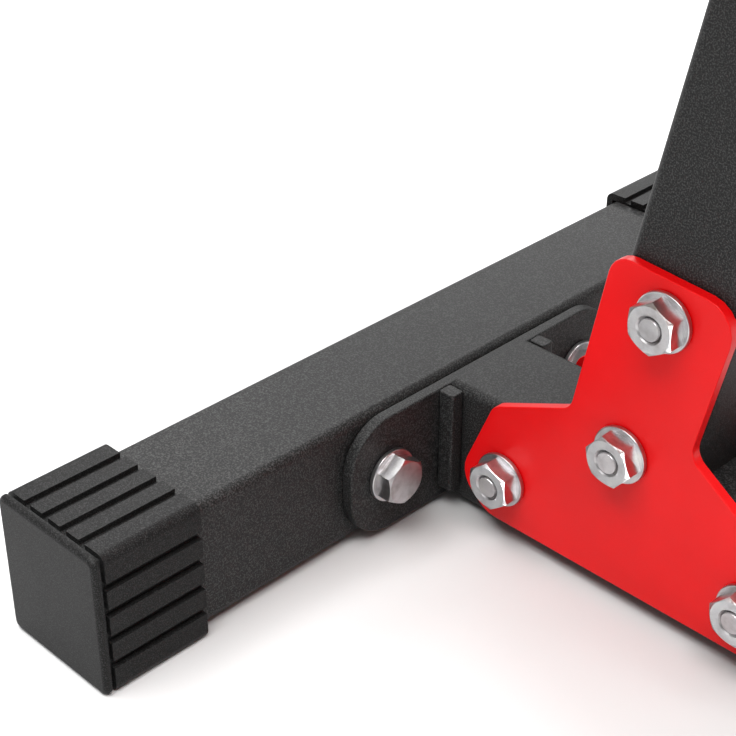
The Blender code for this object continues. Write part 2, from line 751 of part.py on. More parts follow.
def brackets(label, places):
    made = []
    for word, x in zip(("front", "rear"), places):
        made.append(extruded(
            f"{label}_bracket_{word}", (rounded_box(BRACKET_WIDTH, BRACKET_SPAN, BRACKET_CORNER),),
            along_z(RAIL_TOP + GAP + 0.5 * BRACKET_THICK, x), BRACKET_THICK, FRAME_BLACK,
        ))
    return made


def board_and_pad(label, front, rear):
    """Plywood board and the pad on it."""
    middle = 0.5 * (front + rear)
    outline = pad_outline(front + BOARD_INSET, rear - BOARD_INSET, PAD_WIDTH - 2 * BOARD_INSET, BOARD_CORNER)
    board = extruded(
        f"{label}_board", (outline,), along_z(BOARD_BOTTOM + 0.5 * BOARD_THICK, middle),
        BOARD_THICK, BOARD_WOOD,
    )
    pad_bottom = BOARD_BOTTOM + BOARD_THICK + GAP
    thickness = PAD_TOP - pad_bottom
    pad = as_mesh(extruded(
        f"{label}_pad", (pad_outline(front, rear, PAD_WIDTH, PAD_CORNER),),
        along_z(pad_bottom + 0.5 * thickness, middle), thickness, PAD_VINYL,
    ))
    edge = pad.modifiers.new("edge", "BEVEL")
    edge.width = PAD_EDGE
    edge.segments = 3
    edge.limit_method = "ANGLE"
    edge.angle_limit = math.radians(60)
    return [board, pad]


def grab_handle():
    """Round bar bent to a U, welded under the seat's front bracket."""
    z = RAIL_TOP - GAP - HANDLE_RADIUS
    front = HANDLE_FRONT_X + HANDLE_RADIUS
    plan = [(HANDLE_LEG_END, HANDLE_HALF)]
    plan += arc((front + HANDLE_BEND, HANDLE_HALF - HANDLE_BEND), HANDLE_BEND, 90, 180, 6)
    plan += arc((front + HANDLE_BEND, HANDLE_BEND - HANDLE_HALF), HANDLE_BEND, 180, 270, 6)
    plan.append((HANDLE_LEG_END, -HANDLE_HALF))
    curve = bpy.data.curves.new("seat_handle", "CURVE")
    curve.dimensions = "3D"
    curve.bevel_depth = HANDLE_RADIUS
    curve.bevel_resolution = 3
    curve.use_fill_caps = True
    spline = curve.splines.new("POLY")
    spline.points.add(len(plan) - 1)
    for point, (x, y) in zip(spline.points, plan):
        point.co = (x, y, z, 1.0)
    return new_object("seat_handle", curve, Matrix(), FRAME_BLACK)


def seat():
    angles = [SEAT_PIN_ANGLE + math.radians(tilt) for tilt in SEAT_ANGLES]
    y = SECTOR_INNER_Y + 0.5 * SECTOR_THICK
    pieces = [
        rail("seat_rail", SEAT_RAIL_FRONT, SEAT_HINGE.x + RAIL_OVERRUN, SEAT_HINGE),
        rail_plug("seat_rail_plug", SEAT_RAIL_FRONT, -1),
        sector("seat_sector", SEAT_HINGE, SEAT_HOLE_RADIUS, angles, SEAT_SECTOR_ARC, SEAT_SECTOR_TOP, y),
        bush("seat_bush", SEAT_HINGE),
        grab_handle(),
        *brackets("seat", SEAT_BRACKETS),
        *board_and_pad("seat", SEAT_PAD_FRONT, SEAT_PAD_REAR),
    ]
    ride(hinge_empty("seat_hinge", SEAT_HINGE), pieces)


def back():
    angles = [BACK_PIN_ANGLE - math.radians(tilt) for tilt in BACK_ANGLES]
    y = -(SECTOR_INNER_Y + 0.5 * SECTOR_THICK)
    pieces = [
        rail("back_rail", BACK_HINGE.x - RAIL_OVERRUN, BACK_RAIL_REAR, BACK_HINGE),
        rail_plug("back_rail_plug", BACK_RAIL_REAR, 1),
        sector("back_sector", BACK_HINGE, BACK_HOLE_RADIUS, angles, BACK_SECTOR_ARC, BACK_SECTOR_TOP, y),
        bush("back_bush", BACK_HINGE),
        *brackets("back", BACK_BRACKETS),
        *board_and_pad("back", BACK_PAD_FRONT, BACK_PAD_REAR),
    ]
    ride(hinge_empty("back_hinge", BACK_HINGE), pieces)


def rest_post():
    """Upright on the beam that carries the back when it lies flat."""
    bottom = TUBE_TOP + GAP
    top = RAIL_BOTTOM - GAP - BUMPER_THICK - GAP
    tube(
        "rest_post", along_z(0.5 * (bottom + top), REST_POST_X), REST_WIDTH, REST_WIDTH, top - bottom
    )
    extruded(
        "rest_bumper", (rounded_box(REST_WIDTH + 2 * BUMPER_OVERHANG, REST_WIDTH, BUMPER_CORNER),),
        along_z(top + GAP + 0.5 * BUMPER_THICK, REST_POST_X), BUMPER_THICK, RUBBER,
    )


# Wheels

def wheel(side, word):
    """Ear on the rear crossbar, axle bolt, and a wheel that touches down when the bench is tipped."""
    face = REAR_FACE_X + CROSSBAR_WIDTH + GAP
    ear_mid = side * (WHEEL_EAR_Y + 0.5 * EAR_THICK)
    ear = (
        (face, EAR_ROOT[0], EAR_ROOT_RADIUS), (WHEEL_X + EAR_REACH, EAR_TIP[0], EAR_TIP_RADIUS),
        (WHEEL_X + EAR_REACH, EAR_TIP[1], EAR_TIP_RADIUS), (face, EAR_ROOT[1], EAR_ROOT_RADIUS),
    )
    hole = circle((WHEEL_X, WHEEL_Z), M10["shank"] + HOLE_PLAY)
    extruded(f"wheel_ear_{word}", (filleted(ear), hole), along_y(ear_mid), EAR_THICK, FRAME_BLACK)
    inner = WHEEL_EAR_Y + EAR_THICK + WHEEL_PLAY
    outer = inner + WHEEL_WIDTH
    axle_out = outer + AXLE_PLAY
    start = Vector((WHEEL_X, side * axle_out, WHEEL_Z))
    end = Vector((WHEEL_X, side * WHEEL_EAR_Y, WHEEL_Z))
    bolt(f"wheel_axle_{word}", start, end)
    half = 0.5 * WHEEL_WIDTH
    shoulder = WHEEL_RADIUS - WHEEL_TREAD_EDGE
    profile = (
        (WHEEL_BORE, half), (WEB_INNER * WHEEL_RADIUS, half), (WEB_INNER * WHEEL_RADIUS, WEB_HALF * half),
        (WEB_OUTER * WHEEL_RADIUS, WEB_HALF * half), (WEB_OUTER * WHEEL_RADIUS, half),
        (shoulder, half), (WHEEL_RADIUS, half - WHEEL_TREAD_EDGE),
        (WHEEL_RADIUS, WHEEL_TREAD_EDGE - half), (shoulder, -half), (WHEEL_BORE, -half),
    )
    centre = Vector((WHEEL_X, side * 0.5 * (inner + outer), WHEEL_Z))
    roller = turned(
        f"wheel_{word}", profile, toward(centre, centre + Vector((0, side, 0))), RUBBER, True, WHEEL_STEPS
    )
    ride(hinge_empty(f"wheel_hub_{word}", centre), (roller,))


def weight_bench():
    crossbar("front", FOOT_FACE_X, FRONT_FOOT_LENGTH, 1)
    crossbar("rear", REAR_FACE_X, REAR_FOOT_LENGTH, -1)
    flange("front", FOOT_FACE_X, 1)
    flange("rear", REAR_FACE_X, -1)
    front_strips()
    main_beam()
    post()
    gusset_plates()
    head_plates()
    rest_post()
    seat()
    back()
    pull_pin("back", BACK_PIN, NEAR)
    pull_pin("seat", SEAT_PIN, FAR)
    wheel(NEAR, "near")
    wheel(FAR, "far")


weight_bench()
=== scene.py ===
"""Adjustable weight bench: the finished look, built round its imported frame.

Metres. X runs from the seat end (-X) to the head end (+X), Y across the bench, Z up, and the floor is
at Z = 0. The near side is -Y. Every piece is made where the frame says it sits.
"""

import math

import bmesh
import bpy
from mathutils import Matrix, Vector
from mathutils.bvhtree import BVHTree


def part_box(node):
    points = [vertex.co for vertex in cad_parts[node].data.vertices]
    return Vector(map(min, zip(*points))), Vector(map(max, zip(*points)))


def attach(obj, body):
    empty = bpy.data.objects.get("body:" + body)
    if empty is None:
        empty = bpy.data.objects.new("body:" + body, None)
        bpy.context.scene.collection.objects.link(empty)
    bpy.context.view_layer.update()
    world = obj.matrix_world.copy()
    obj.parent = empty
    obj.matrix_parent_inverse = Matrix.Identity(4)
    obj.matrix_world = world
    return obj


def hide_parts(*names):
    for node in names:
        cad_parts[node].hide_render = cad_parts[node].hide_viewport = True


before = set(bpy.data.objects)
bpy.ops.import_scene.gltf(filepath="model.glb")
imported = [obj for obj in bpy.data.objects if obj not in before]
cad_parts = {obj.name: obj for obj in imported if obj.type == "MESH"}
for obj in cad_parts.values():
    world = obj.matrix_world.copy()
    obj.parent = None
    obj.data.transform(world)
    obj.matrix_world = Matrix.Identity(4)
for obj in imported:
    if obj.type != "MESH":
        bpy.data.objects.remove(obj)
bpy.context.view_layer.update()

MM = 0.001
NEAR = -1
FAR = 1
X_AXIS = Vector((1, 0, 0))
Y_AXIS = Vector((0, 1, 0))
Z_AXIS = Vector((0, 0, 1))

# Tubes
TUBE_CORNER = 3.5 * MM
TUBE_WALL = 2.5 * MM
TUBE_CORNER_STEPS = 6
TUBE_END_EASE = 0.4 * MM
POST_SPARE = 60 * MM

# Flanges, which stop a little under the top of their tube
FLANGE_CORNER = 19 * MM
FLANGE_STEP_DOWN = 1.3 * MM

# End caps of the feet
CAP_CORNER = 3.4 * MM
CAP_RIM_START = 2.7 * MM
CAP_RIM_END = 4.3 * MM
CAP_RIM_DEPTH = 2.0 * MM
CAP_FACE_EASE = 2.0 * MM
CAP_GROOVES = 4
CAP_GROOVE_WIDTH = 3.2 * MM
CAP_GROOVE_DEPTH = 2.1 * MM
CAP_SIDE_PITCH = 10.6 * MM
CAP_TOP_PITCH = 9.8 * MM
CAP_WALL = 3.1 * MM
CAP_PLATE = 6.0 * MM
CAP_EASE = 0.5 * MM

# Fasteners: radii of washer and shank, width of the hexagon, and heights of head and nut
FASTENERS = {
    "M10": {
        "washer": 10.5 * MM, "across_flats": 16.5 * MM, "head": 6.4 * MM, "nut": 6.4 * MM,
        "shank": 5.0 * MM,
    },
    "M12": {
        "washer": 12.0 * MM, "across_flats": 18.0 * MM, "head": 7.5 * MM, "nut": 10.0 * MM,
        "shank": 6.0 * MM,
    },
}
WASHER_THICK = 2.0 * MM
WASHER_SOFT_EDGE = 0.45 * MM
HEXAGON_TURNED_OFF = 0.9 * MM
COUNTERSINK = 0.9 * MM
STAND_OUT = 0.4 * MM
WASHER_ABOVE_M10 = 11.2 * MM

# Welds: a bead's radius, the share of it at the bead's ends, a ripple's length and swell, how deep
# the bead sits, and the margin left before a corner
BEAD = 2.0 * MM
RAIL_BEAD = 1.8 * MM
BEAD_END = 0.55
RIPPLE = 1.7 * MM
RIPPLE_SWELL = 1.10
BEAD_SUNK = 0.3 * MM
BEAD_MARGIN = 4 * MM
# Each sector's weld to its rail runs between these places along X, from its pivot bolt
SECTOR_WELD = {"seat": (-80 * MM, -20 * MM), "back": (-8 * MM, 67 * MM)}

# Screws under the boards
SCREW_PLACES = (-100 * MM, -78 * MM, 78 * MM, 100 * MM)
SCREW_TURN_PER_METRE = 900

# Pads
PAD_CORNER = 28 * MM
PAD_ROUND = 9 * MM
COVER_ROOM = 4 * MM
CROWN_ROOM = 6 * MM
SEAM_HEIGHT = 0.66
PIPING_RADIUS = 2.1 * MM
STITCH_PITCH = 4.6 * MM
STITCH_INSET = 17 * MM
CHANNEL_DEPTH = 4.5 * MM
CHANNEL_WIDTH = 4.5 * MM
CHANNEL_STITCH = 7 * MM
CHANNEL_MARGIN = 22 * MM
SWELL_LIMIT = 11 * MM
FOAM_PRESSURE = 4.0
SWELL_FRAMES = 20
RAY_ROOM = 40 * MM

# Camera: its lens in millimetres, where it stands from the crossbar's inner side, and where it looks
LENS = 82.42
CAMERA_PLACE = (0.3550, -0.4117, 0.3826)
CAMERA_AIM = (-0.603, 0.5989, -0.5269)


# Working in edit mode

def take(obj):
    """Make an object the only one selected, and the active one."""
    bpy.ops.object.select_all(action="DESELECT")
    obj.select_set(True)
    bpy.context.view_layer.objects.active = obj


def open_up(obj, kind="EDGE"):
    """Start editing with nothing selected."""
    take(obj)
    bpy.ops.object.mode_set(mode="EDIT")
    bpy.ops.mesh.select_mode(type=kind)
    bpy.ops.mesh.select_all(action="DESELECT")


def pick(obj, kind, test):
    """Add to the selection the verts, edges or faces that pass the test."""
    shape = bmesh.from_edit_mesh(obj.data)
    shape.normal_update()
    for item in getattr(shape, kind):
        if test(item):
            item.select_set(True)
    bmesh.update_edit_mesh(obj.data)


def close_up():
    bpy.ops.object.mode_set(mode="OBJECT")


def runs_along(edge, axis):
    """Whether an edge lies along an axis, 0, 1 or 2."""
    step = edge.verts[1].co - edge.verts[0].co
    return step.length > 1e-7 and abs(step[axis]) > 0.999 * step.length


def settle(obj):
    """Bring an object's place into its mesh."""
    take(obj)
    bpy.ops.object.transform_apply(location=True, rotation=True, scale=True)
    return obj


def block(name, low, high):
    """A box between two corners."""
    low = Vector(low)
    high = Vector(high)
    bpy.ops.object.select_all(action="DESELECT")
    bpy.ops.mesh.primitive_cube_add(size=1.0, location=0.5 * (low + high))
    obj = bpy.context.object
    obj.name = name
    obj.scale = high - low
    return settle(obj)


def rod(name, radius, low, high, sides=48):
    """A round or polygonal bar along Z, between two heights."""
    bpy.ops.object.select_all(action="DESELECT")
    bpy.ops.mesh.primitive_cylinder_add(
        vertices=sides, radius=radius, depth=high - low, location=(0, 0, 0.5 * (low + high))
    )
    obj = bpy.context.object
    obj.name = name
    return settle(obj)


def round_edges(obj, axis, radius, steps=TUBE_CORNER_STEPS):
    """Round the edges that run along an axis."""
    open_up(obj)
    pick(obj, "edges", lambda edge: runs_along(edge, axis))
    bpy.ops.mesh.bevel(offset=radius, segments=steps, affect="EDGES")
    close_up()


def use_modifier(obj, kind, **settings):
    """Add a modifier and apply it."""
    take(obj)
    made = obj.modifiers.new(kind.lower(), kind)
    for key, value in settings.items():
        setattr(made, key, value)
    bpy.ops.object.modifier_apply(modifier=made.name)


def combine(obj, other, operation):
    """Cut, join or intersect with another object, and remove that object."""
    use_modifier(obj, "BOOLEAN", operation=operation, object=other, solver="EXACT")
    bpy.data.objects.remove(other, do_unlink=True)


def merge(pieces, name):
    """Put several objects into one."""
    bpy.ops.object.select_all(action="DESELECT")
    for piece in pieces:
        piece.select_set(True)
    bpy.context.view_layer.objects.active = pieces[0]
    if len(pieces) > 1:
        bpy.ops.object.join()
    pieces[0].name = name
    pieces[0].data.name = name
    return pieces[0]


def ease(obj, width, steps=2, angle=40.0):
    """Break the sharp edges, and shade the rest smooth."""
    use_modifier(
        obj, "BEVEL", width=width, segments=steps, limit_method="ANGLE",
        angle_limit=math.radians(angle), use_clamp_overlap=True,
    )
    smooth(obj)


def smooth(obj, angle=32.0):
    take(obj)
    bpy.ops.object.shade_smooth_by_angle(angle=math.radians(angle))
    use_modifier(obj, "WEIGHTED_NORMAL", keep_sharp=True, weight=80)


def copy_of(obj, name, matrix):
    """A copy with its own mesh, moved by a matrix."""
    made = obj.copy()
    made.data = obj.data.copy()
    made.name = name
    made.data.name = name
    bpy.context.scene.collection.objects.link(made)
    made.data.transform(matrix)
    return made


def drop(*objects):
    for obj in objects:
        bpy.data.objects.remove(obj, do_unlink=True)


def copy_node(node, name):
    """A CAD node's mesh as a clean new object: doubles merged, and its flat faces whole again."""
    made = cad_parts[node].copy()
    made.data = made.data.copy()
    made.name = name
    made.data.name = name
    made.parent = None
    for key in list(made.keys()):
        del made[key]
    bpy.context.scene.collection.objects.link(made)
    open_up(made, "VERT")
    bpy.ops.mesh.select_all(action="SELECT")
    bpy.ops.mesh.remove_doubles(threshold=0.00002)
    bpy.ops.mesh.dissolve_limited(angle_limit=math.radians(1.0))
    close_up()
    return made


def turned(name, profile, steps=48):
    """A profile of (radius, height) points, from one pole or rim to the other, spun about Z."""
    bpy.ops.object.select_all(action="DESELECT")
    bpy.ops.mesh.primitive_plane_add(size=MM, location=(0, 0, 0))
    obj = bpy.context.object
    obj.name = name
    open_up(obj, "VERT")
    bpy.ops.mesh.select_all(action="SELECT")
    bpy.ops.mesh.merge(type="CENTER")
    bpy.ops.transform.translate(value=(profile[0][0], 0.0, profile[0][1]))
    for before, after in zip(profile, profile[1:]):
        step = (after[0] - before[0], 0.0, after[1] - before[1])
        bpy.ops.mesh.extrude_vertices_move(TRANSFORM_OT_translate={"value": step})
    bpy.ops.mesh.select_all(action="SELECT")
    bpy.ops.mesh.spin(steps=steps, angle=2 * math.pi, center=(0, 0, 0), axis=(0, 0, 1))
    bpy.ops.mesh.select_all(action="SELECT")
    bpy.ops.mesh.remove_doubles(threshold=0.00001)
    bpy.ops.mesh.normals_make_consistent(inside=False)
    close_up()
    return obj


def frame_toward(place, direction, turn=0.0):
    """The matrix that stands a piece made along Z on a place, facing a direction."""
    facing = Vector(direction).to_track_quat("Z", "Y").to_matrix().to_4x4()
    return Matrix.Translation(place) @ facing @ Matrix.Rotation(math.radians(turn), 4, "Z")


def arc(radius, height, reach, start, end, steps=8):
    """Profile points of a rounded edge: its centre's radius and height, its own reach, and degrees."""
    points = []
    for i in range(steps + 1):
        angle = math.radians(start + (end - start) * i / steps)
        points.append((radius + reach * math.cos(angle), height + reach * math.sin(angle)))
    return points


def hand_over(obj, material, body, slot, *nodes):
    """Give a finished piece its material and its body, and hide the nodes that it stands for. The slot is
    not used.
    """
    obj.data.materials.clear()
    obj.data.materials.append(material)
    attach(obj, body)
    if nodes:
        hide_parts(*nodes)
    return obj


# Materials

class Finish:
    """A Principled material under construction, with short ways to add its nodes."""

    def __init__(self, name, colour, roughness, metallic=0.0, **sockets):
        self.material = bpy.data.materials.new(name)
        self.material.use_nodes = True
        self.tree = self.material.node_tree
        self.shader = self.tree.nodes["Principled BSDF"]
        self.shader.inputs["Base Color"].default_value = (*colour, 1.0)
        self.shader.inputs["Roughness"].default_value = roughness
        self.shader.inputs["Metallic"].default_value = metallic
        for socket, value in sockets.items():
            self.shader.inputs[socket.replace("_", " ")].default_value = value
        self.place = self.tree.nodes.new("ShaderNodeTexCoord").outputs["Object"]
        self.height = None

    def link(self, start, end):
        self.tree.links.new(start, end)

    def stretched(self, scale):
        """Object coordinates, scaled unevenly."""
        node = self.tree.nodes.new("ShaderNodeMapping")
        node.inputs["Scale"].default_value = scale
        self.link(self.place, node.inputs["Vector"])
        return node.outputs["Vector"]

    def noise(self, size, detail=3.0, rough=0.55, vector=None):
        """Noise whose features are about size metres across."""
        node = self.tree.nodes.new("ShaderNodeTexNoise")
        node.inputs["Scale"].default_value = 1.0 / size
        node.inputs["Detail"].default_value = detail
        node.inputs["Roughness"].default_value = rough
        self.link(vector or self.place, node.inputs["Vector"])
        return node.outputs["Fac"]

    def cells(self, size, feature="F1", output="Distance", vector=None):
        node = self.tree.nodes.new("ShaderNodeTexVoronoi")
        node.feature = feature
        node.inputs["Scale"].default_value = 1.0 / size
        self.link(vector or self.place, node.inputs["Vector"])
        return node.outputs[output]

    def ramp(self, value, *stops):
        """Colours or greys at positions along a value."""
        node = self.tree.nodes.new("ShaderNodeValToRGB")
        while len(node.color_ramp.elements) < len(stops):
            node.color_ramp.elements.new(0.5)
        for element, (position, colour) in zip(node.color_ramp.elements, stops):
            element.position = position
            if isinstance(colour, (int, float)):
                colour = (colour, colour, colour)
            element.color = (*colour, 1.0)
        self.link(value, node.inputs["Fac"])
        return node.outputs["Color"]

    def mix(self, factor, first, second, blend="MIX"):
        node = self.tree.nodes.new("ShaderNodeMix")
        node.data_type = "RGBA"
        node.blend_type = blend
        if isinstance(factor, (int, float)):
            node.inputs["Factor"].default_value = factor
        else:
            self.link(factor, node.inputs["Factor"])
        for socket, value in ((node.inputs[6], first), (node.inputs[7], second)):
            if isinstance(value, tuple):
                socket.default_value = (*value, 1.0)
            else:
                self.link(value, socket)
        return node.outputs[2]

    def maths(self, operation, first, second=0.5):
        node = self.tree.nodes.new("ShaderNodeMath")
        node.operation = operation
        for socket, value in zip(node.inputs, (first, second)):
            if isinstance(value, (int, float)):
                socket.default_value = value
            else:
                self.link(value, socket)
        return node.outputs[0]

    def colour(self, value):
        self.link(value, self.shader.inputs["Base Color"])

    def roughness(self, value, low, high):
        node = self.tree.nodes.new("ShaderNodeMapRange")
        node.inputs["To Min"].default_value = low
        node.inputs["To Max"].default_value = high
        self.link(value, node.inputs["Value"])
        self.link(node.outputs["Result"], self.shader.inputs["Roughness"])

    def bump(self, value, depth, strength=1.0):
        """Relief of a depth in metres, over any relief already there."""
        node = self.tree.nodes.new("ShaderNodeBump")
        node.inputs["Strength"].default_value = strength
        node.inputs["Distance"].default_value = depth
        self.link(value, node.inputs["Height"])
        if self.height is not None:
            self.link(self.height, node.inputs["Normal"])
        self.height = node.outputs["Normal"]
        self.link(self.height, self.shader.inputs["Normal"])


def frame_paint():
    """Black powder coat with a fine, slightly sparkling grain."""
    made = Finish("frame_paint", (0.035, 0.035, 0.035), 0.5, Specular_IOR_Level=0.22)
    grain = made.noise(0.58 * MM, 1.0, 0.6)
    specks = made.cells(0.8 * MM)
    cloud = made.noise(60 * MM, 2.0)
    fine = made.ramp(grain, (0.38, 0.006), (0.50, 0.013), (0.64, 0.048))
    spots = made.ramp(specks, (0.10, 0.08), (0.22, 0.0))
    worn = made.ramp(cloud, (0.35, 0.90), (0.65, 1.0))
    made.colour(made.mix(1.0, made.mix(0.35, fine, spots, "ADD"), worn, "MULTIPLY"))
    made.roughness(grain, 0.44, 0.66)
    made.bump(grain, 0.11 * MM, 0.55)
    return made.material


def plate_paint():
    """Smooth satin red powder coat with faint orange peel."""
    made = Finish(
        "plate_paint", (0.68, 0.004, 0.006), 0.34, Specular_IOR_Level=0.35,
        Specular_Tint=(1.0, 0.6, 0.6, 1.0),
    )
    peel = made.noise(1.6 * MM, 1.0)
    cloud = made.noise(45 * MM, 3.0)
    dust = made.noise(0.35 * MM, 2.0)
    tone = made.ramp(cloud, (0.35, (0.70, 0.002, 0.003)), (0.65, (0.78, 0.003, 0.005)))
    made.colour(made.mix(0.06, tone, made.ramp(dust, (0.4, 0.3), (0.6, 0.9)), "MULTIPLY"))
    made.roughness(cloud, 0.30, 0.40)
    made.bump(peel, 0.03 * MM, 0.35)
    made.bump(dust, 0.01 * MM, 0.3)
    return made.material


def zinc_plate():
    """Zinc-plated steel: cool grey, a little brown in random patches, with fine tool marks."""
    made = Finish("zinc_plate", (0.50, 0.49, 0.50), 0.30, 1.0)
    marks = made.noise(0.9 * MM, 4.0, 0.7, made.stretched((1.0, 1.0, 6.0)))
    cloud = made.noise(7 * MM, 3.0)
    tone = made.ramp(
        cloud, (0.30, (0.38, 0.36, 0.36)), (0.52, (0.54, 0.53, 0.54)), (0.75, (0.61, 0.61, 0.59))
    )
    made.colour(made.mix(0.25, tone, made.ramp(marks, (0.35, 0.55), (0.60, 1.0)), "MULTIPLY"))
    made.roughness(marks, 0.22, 0.42)
    made.bump(marks, 0.03 * MM, 0.4)
    return made.material


def cap_moulding():
    """Satin black moulded plastic with a fine spark-eroded texture."""
    made = Finish("cap_moulding", (0.012, 0.012, 0.012), 0.42, Specular_IOR_Level=0.09)
    spark = made.noise(0.40 * MM, 2.0)
    cloud = made.noise(18 * MM, 2.0)
    fine = made.ramp(spark, (0.38, 0.005), (0.52, 0.011), (0.66, 0.044))
    made.colour(made.mix(0.35, fine, made.ramp(cloud, (0.35, 0.009), (0.65, 0.014))))
    made.roughness(cloud, 0.36, 0.48)
    made.bump(spark, 0.05 * MM, 0.35)
    return made.material


def pad_vinyl():
    """Grained black upholstery vinyl with a soft sheen."""
    made = Finish(
        "pad_vinyl", (0.013, 0.013, 0.014), 0.5, Specular_IOR_Level=0.40,
        Sheen_Weight=0.05, Sheen_Roughness=0.4,
    )
    warp = made.noise(3.0 * MM, 2.0)
    shifted = made.mix(0.0018, made.place, warp, "ADD")
    pebble = made.cells(1.5 * MM, "DISTANCE_TO_EDGE", "Distance", shifted)
    crease = made.ramp(pebble, (0.0, 0.0), (0.14, 0.75), (0.45, 1.0))
    cloud = made.noise(55 * MM, 3.0)
    tone = made.ramp(cloud, (0.30, (0.011, 0.011, 0.012)), (0.70, (0.018, 0.018, 0.020)))
    # The grain's creases are painted darker where the bump sinks them: painted shade.
    made.colour(made.mix(0.5, tone, made.ramp(pebble, (0.0, 0.35), (0.12, 1.0)), "MULTIPLY"))
    made.roughness(cloud, 0.42, 0.56)
    made.bump(crease, 0.16 * MM, 0.6)
    made.bump(made.noise(14 * MM, 2.0), 0.5 * MM, 0.25)
    return made.material


def piping_vinyl():
    """Smoother, glossier vinyl over the cord in the seams."""
    made = Finish("piping_vinyl", (0.022, 0.022, 0.023), 0.36, Specular_IOR_Level=0.5)
    wrinkle = made.noise(2.2 * MM, 3.0)
    made.colour(made.ramp(wrinkle, (0.35, 0.010), (0.65, 0.020)))
    made.roughness(wrinkle, 0.30, 0.46)
    made.bump(wrinkle, 0.12 * MM, 0.5)
    return made.material


def stitch_thread():
    """Twisted grey polyester thread."""
    made = Finish("stitch_thread", (0.16, 0.16, 0.165), 0.7, Sheen_Weight=0.3)
    twist = made.noise(0.35 * MM, 2.0)
    made.colour(made.ramp(twist, (0.35, 0.07), (0.65, 0.18)))
    made.bump(twist, 0.08 * MM, 0.6)
    return made.material


def plywood():
    """Birch plywood: grain along the bench on its faces, and plies that alternate down its edges."""
    made = Finish("plywood", (0.50, 0.34, 0.19), 0.62, Specular_IOR_Level=0.3)
    grain = made.noise(2.4 * MM, 5.0, 0.65, made.stretched((0.045, 1.0, 1.0)))
    figure = made.noise(26 * MM, 3.0, 0.5, made.stretched((0.16, 1.0, 1.0)))
    face = made.mix(
        0.55, made.ramp(grain, (0.30, (0.36, 0.22, 0.11)), (0.62, (0.62, 0.44, 0.27))),
        made.ramp(figure, (0.35, (0.46, 0.30, 0.16)), (0.65, (0.66, 0.49, 0.31))),
    )
    split = made.tree.nodes.new("ShaderNodeSeparateXYZ")
    made.link(made.place, split.inputs[0])
    ply = made.maths("PINGPONG", made.maths("MULTIPLY", split.outputs["Z"], 1.0 / (2.4 * MM)), 1.0)
    layers = made.ramp(ply, (0.35, (0.30, 0.17, 0.08)), (0.60, (0.60, 0.43, 0.26)))
    normal = made.tree.nodes.new("ShaderNodeNewGeometry")
    upright = made.tree.nodes.new("ShaderNodeSeparateXYZ")
    made.link(normal.outputs["Normal"], upright.inputs[0])
    flat = made.maths("GREATER_THAN", made.maths("ABSOLUTE", upright.outputs["Z"]), 0.6)
    made.colour(made.mix(flat, layers, face))
    made.roughness(grain, 0.52, 0.74)
    made.bump(grain, 0.12 * MM, 0.4)
    return made.material


def moulded_rubber():
    """Matt black rubber, greyer where it is dusty."""
    made = Finish("moulded_rubber", (0.022, 0.022, 0.022), 0.8, Specular_IOR_Level=0.35)
    dust = made.noise(9 * MM, 4.0)
    grit = made.noise(0.6 * MM, 2.0)
    dusty = made.ramp(dust, (0.35, 0.016), (0.70, 0.048))
    made.colour(made.mix(0.4, dusty, made.ramp(grit, (0.3, 0.014), (0.7, 0.034))))
    made.roughness(dust, 0.68, 0.88)
    made.bump(grit, 0.12 * MM, 0.5)
    return made.material


def hub_nylon(name, low, high):
    """Moulded nylon, a little waxy."""
    made = Finish(name, high, 0.42, Specular_IOR_Level=0.5)
    cloud = made.noise(6 * MM, 3.0)
    spark = made.noise(0.5 * MM, 2.0)
    made.colour(made.ramp(cloud, (0.30, low), (0.70, high)))
    made.roughness(spark, 0.34, 0.52)
    made.bump(spark, 0.06 * MM, 0.35)
    return made.material


FRAME_PAINT = frame_paint()
PLATE_PAINT = plate_paint()
ZINC_PLATE = zinc_plate()
CAP_MOULDING = cap_moulding()
PAD_VINYL = pad_vinyl()
PIPING_VINYL = piping_vinyl()
STITCH_THREAD = stitch_thread()
PLYWOOD = plywood()
RUBBER = moulded_rubber()
BUSH_NYLON = hub_nylon("bush_nylon", (0.50, 0.48, 0.41), (0.66, 0.64, 0.57))
HUB_NYLON = hub_nylon("hub_nylon", (0.10, 0.10, 0.10), (0.15, 0.15, 0.15))


# Feet and base

def tube_along(name, axis, low, high):
    """A steel tube between two corners, with round edges, a true wall and both ends open."""
    tube = block(name, low, high)
    round_edges(tube, axis, TUBE_CORNER)
    open_up(tube, "FACE")
    pick(tube, "faces", lambda face: abs(face.normal[axis]) > 0.9)
    bpy.ops.mesh.inset(thickness=TUBE_WALL)
    bpy.ops.mesh.bridge_edge_loops()
    close_up()
    return tube


def square_tube(node, axis, body="base"):
    low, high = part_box(node)
    tube = tube_along(f"{node}_tube", axis, low, high)
    ease(tube, TUBE_END_EASE, 2, 60.0)
    return hand_over(tube, FRAME_PAINT, body, "frame_black", node)


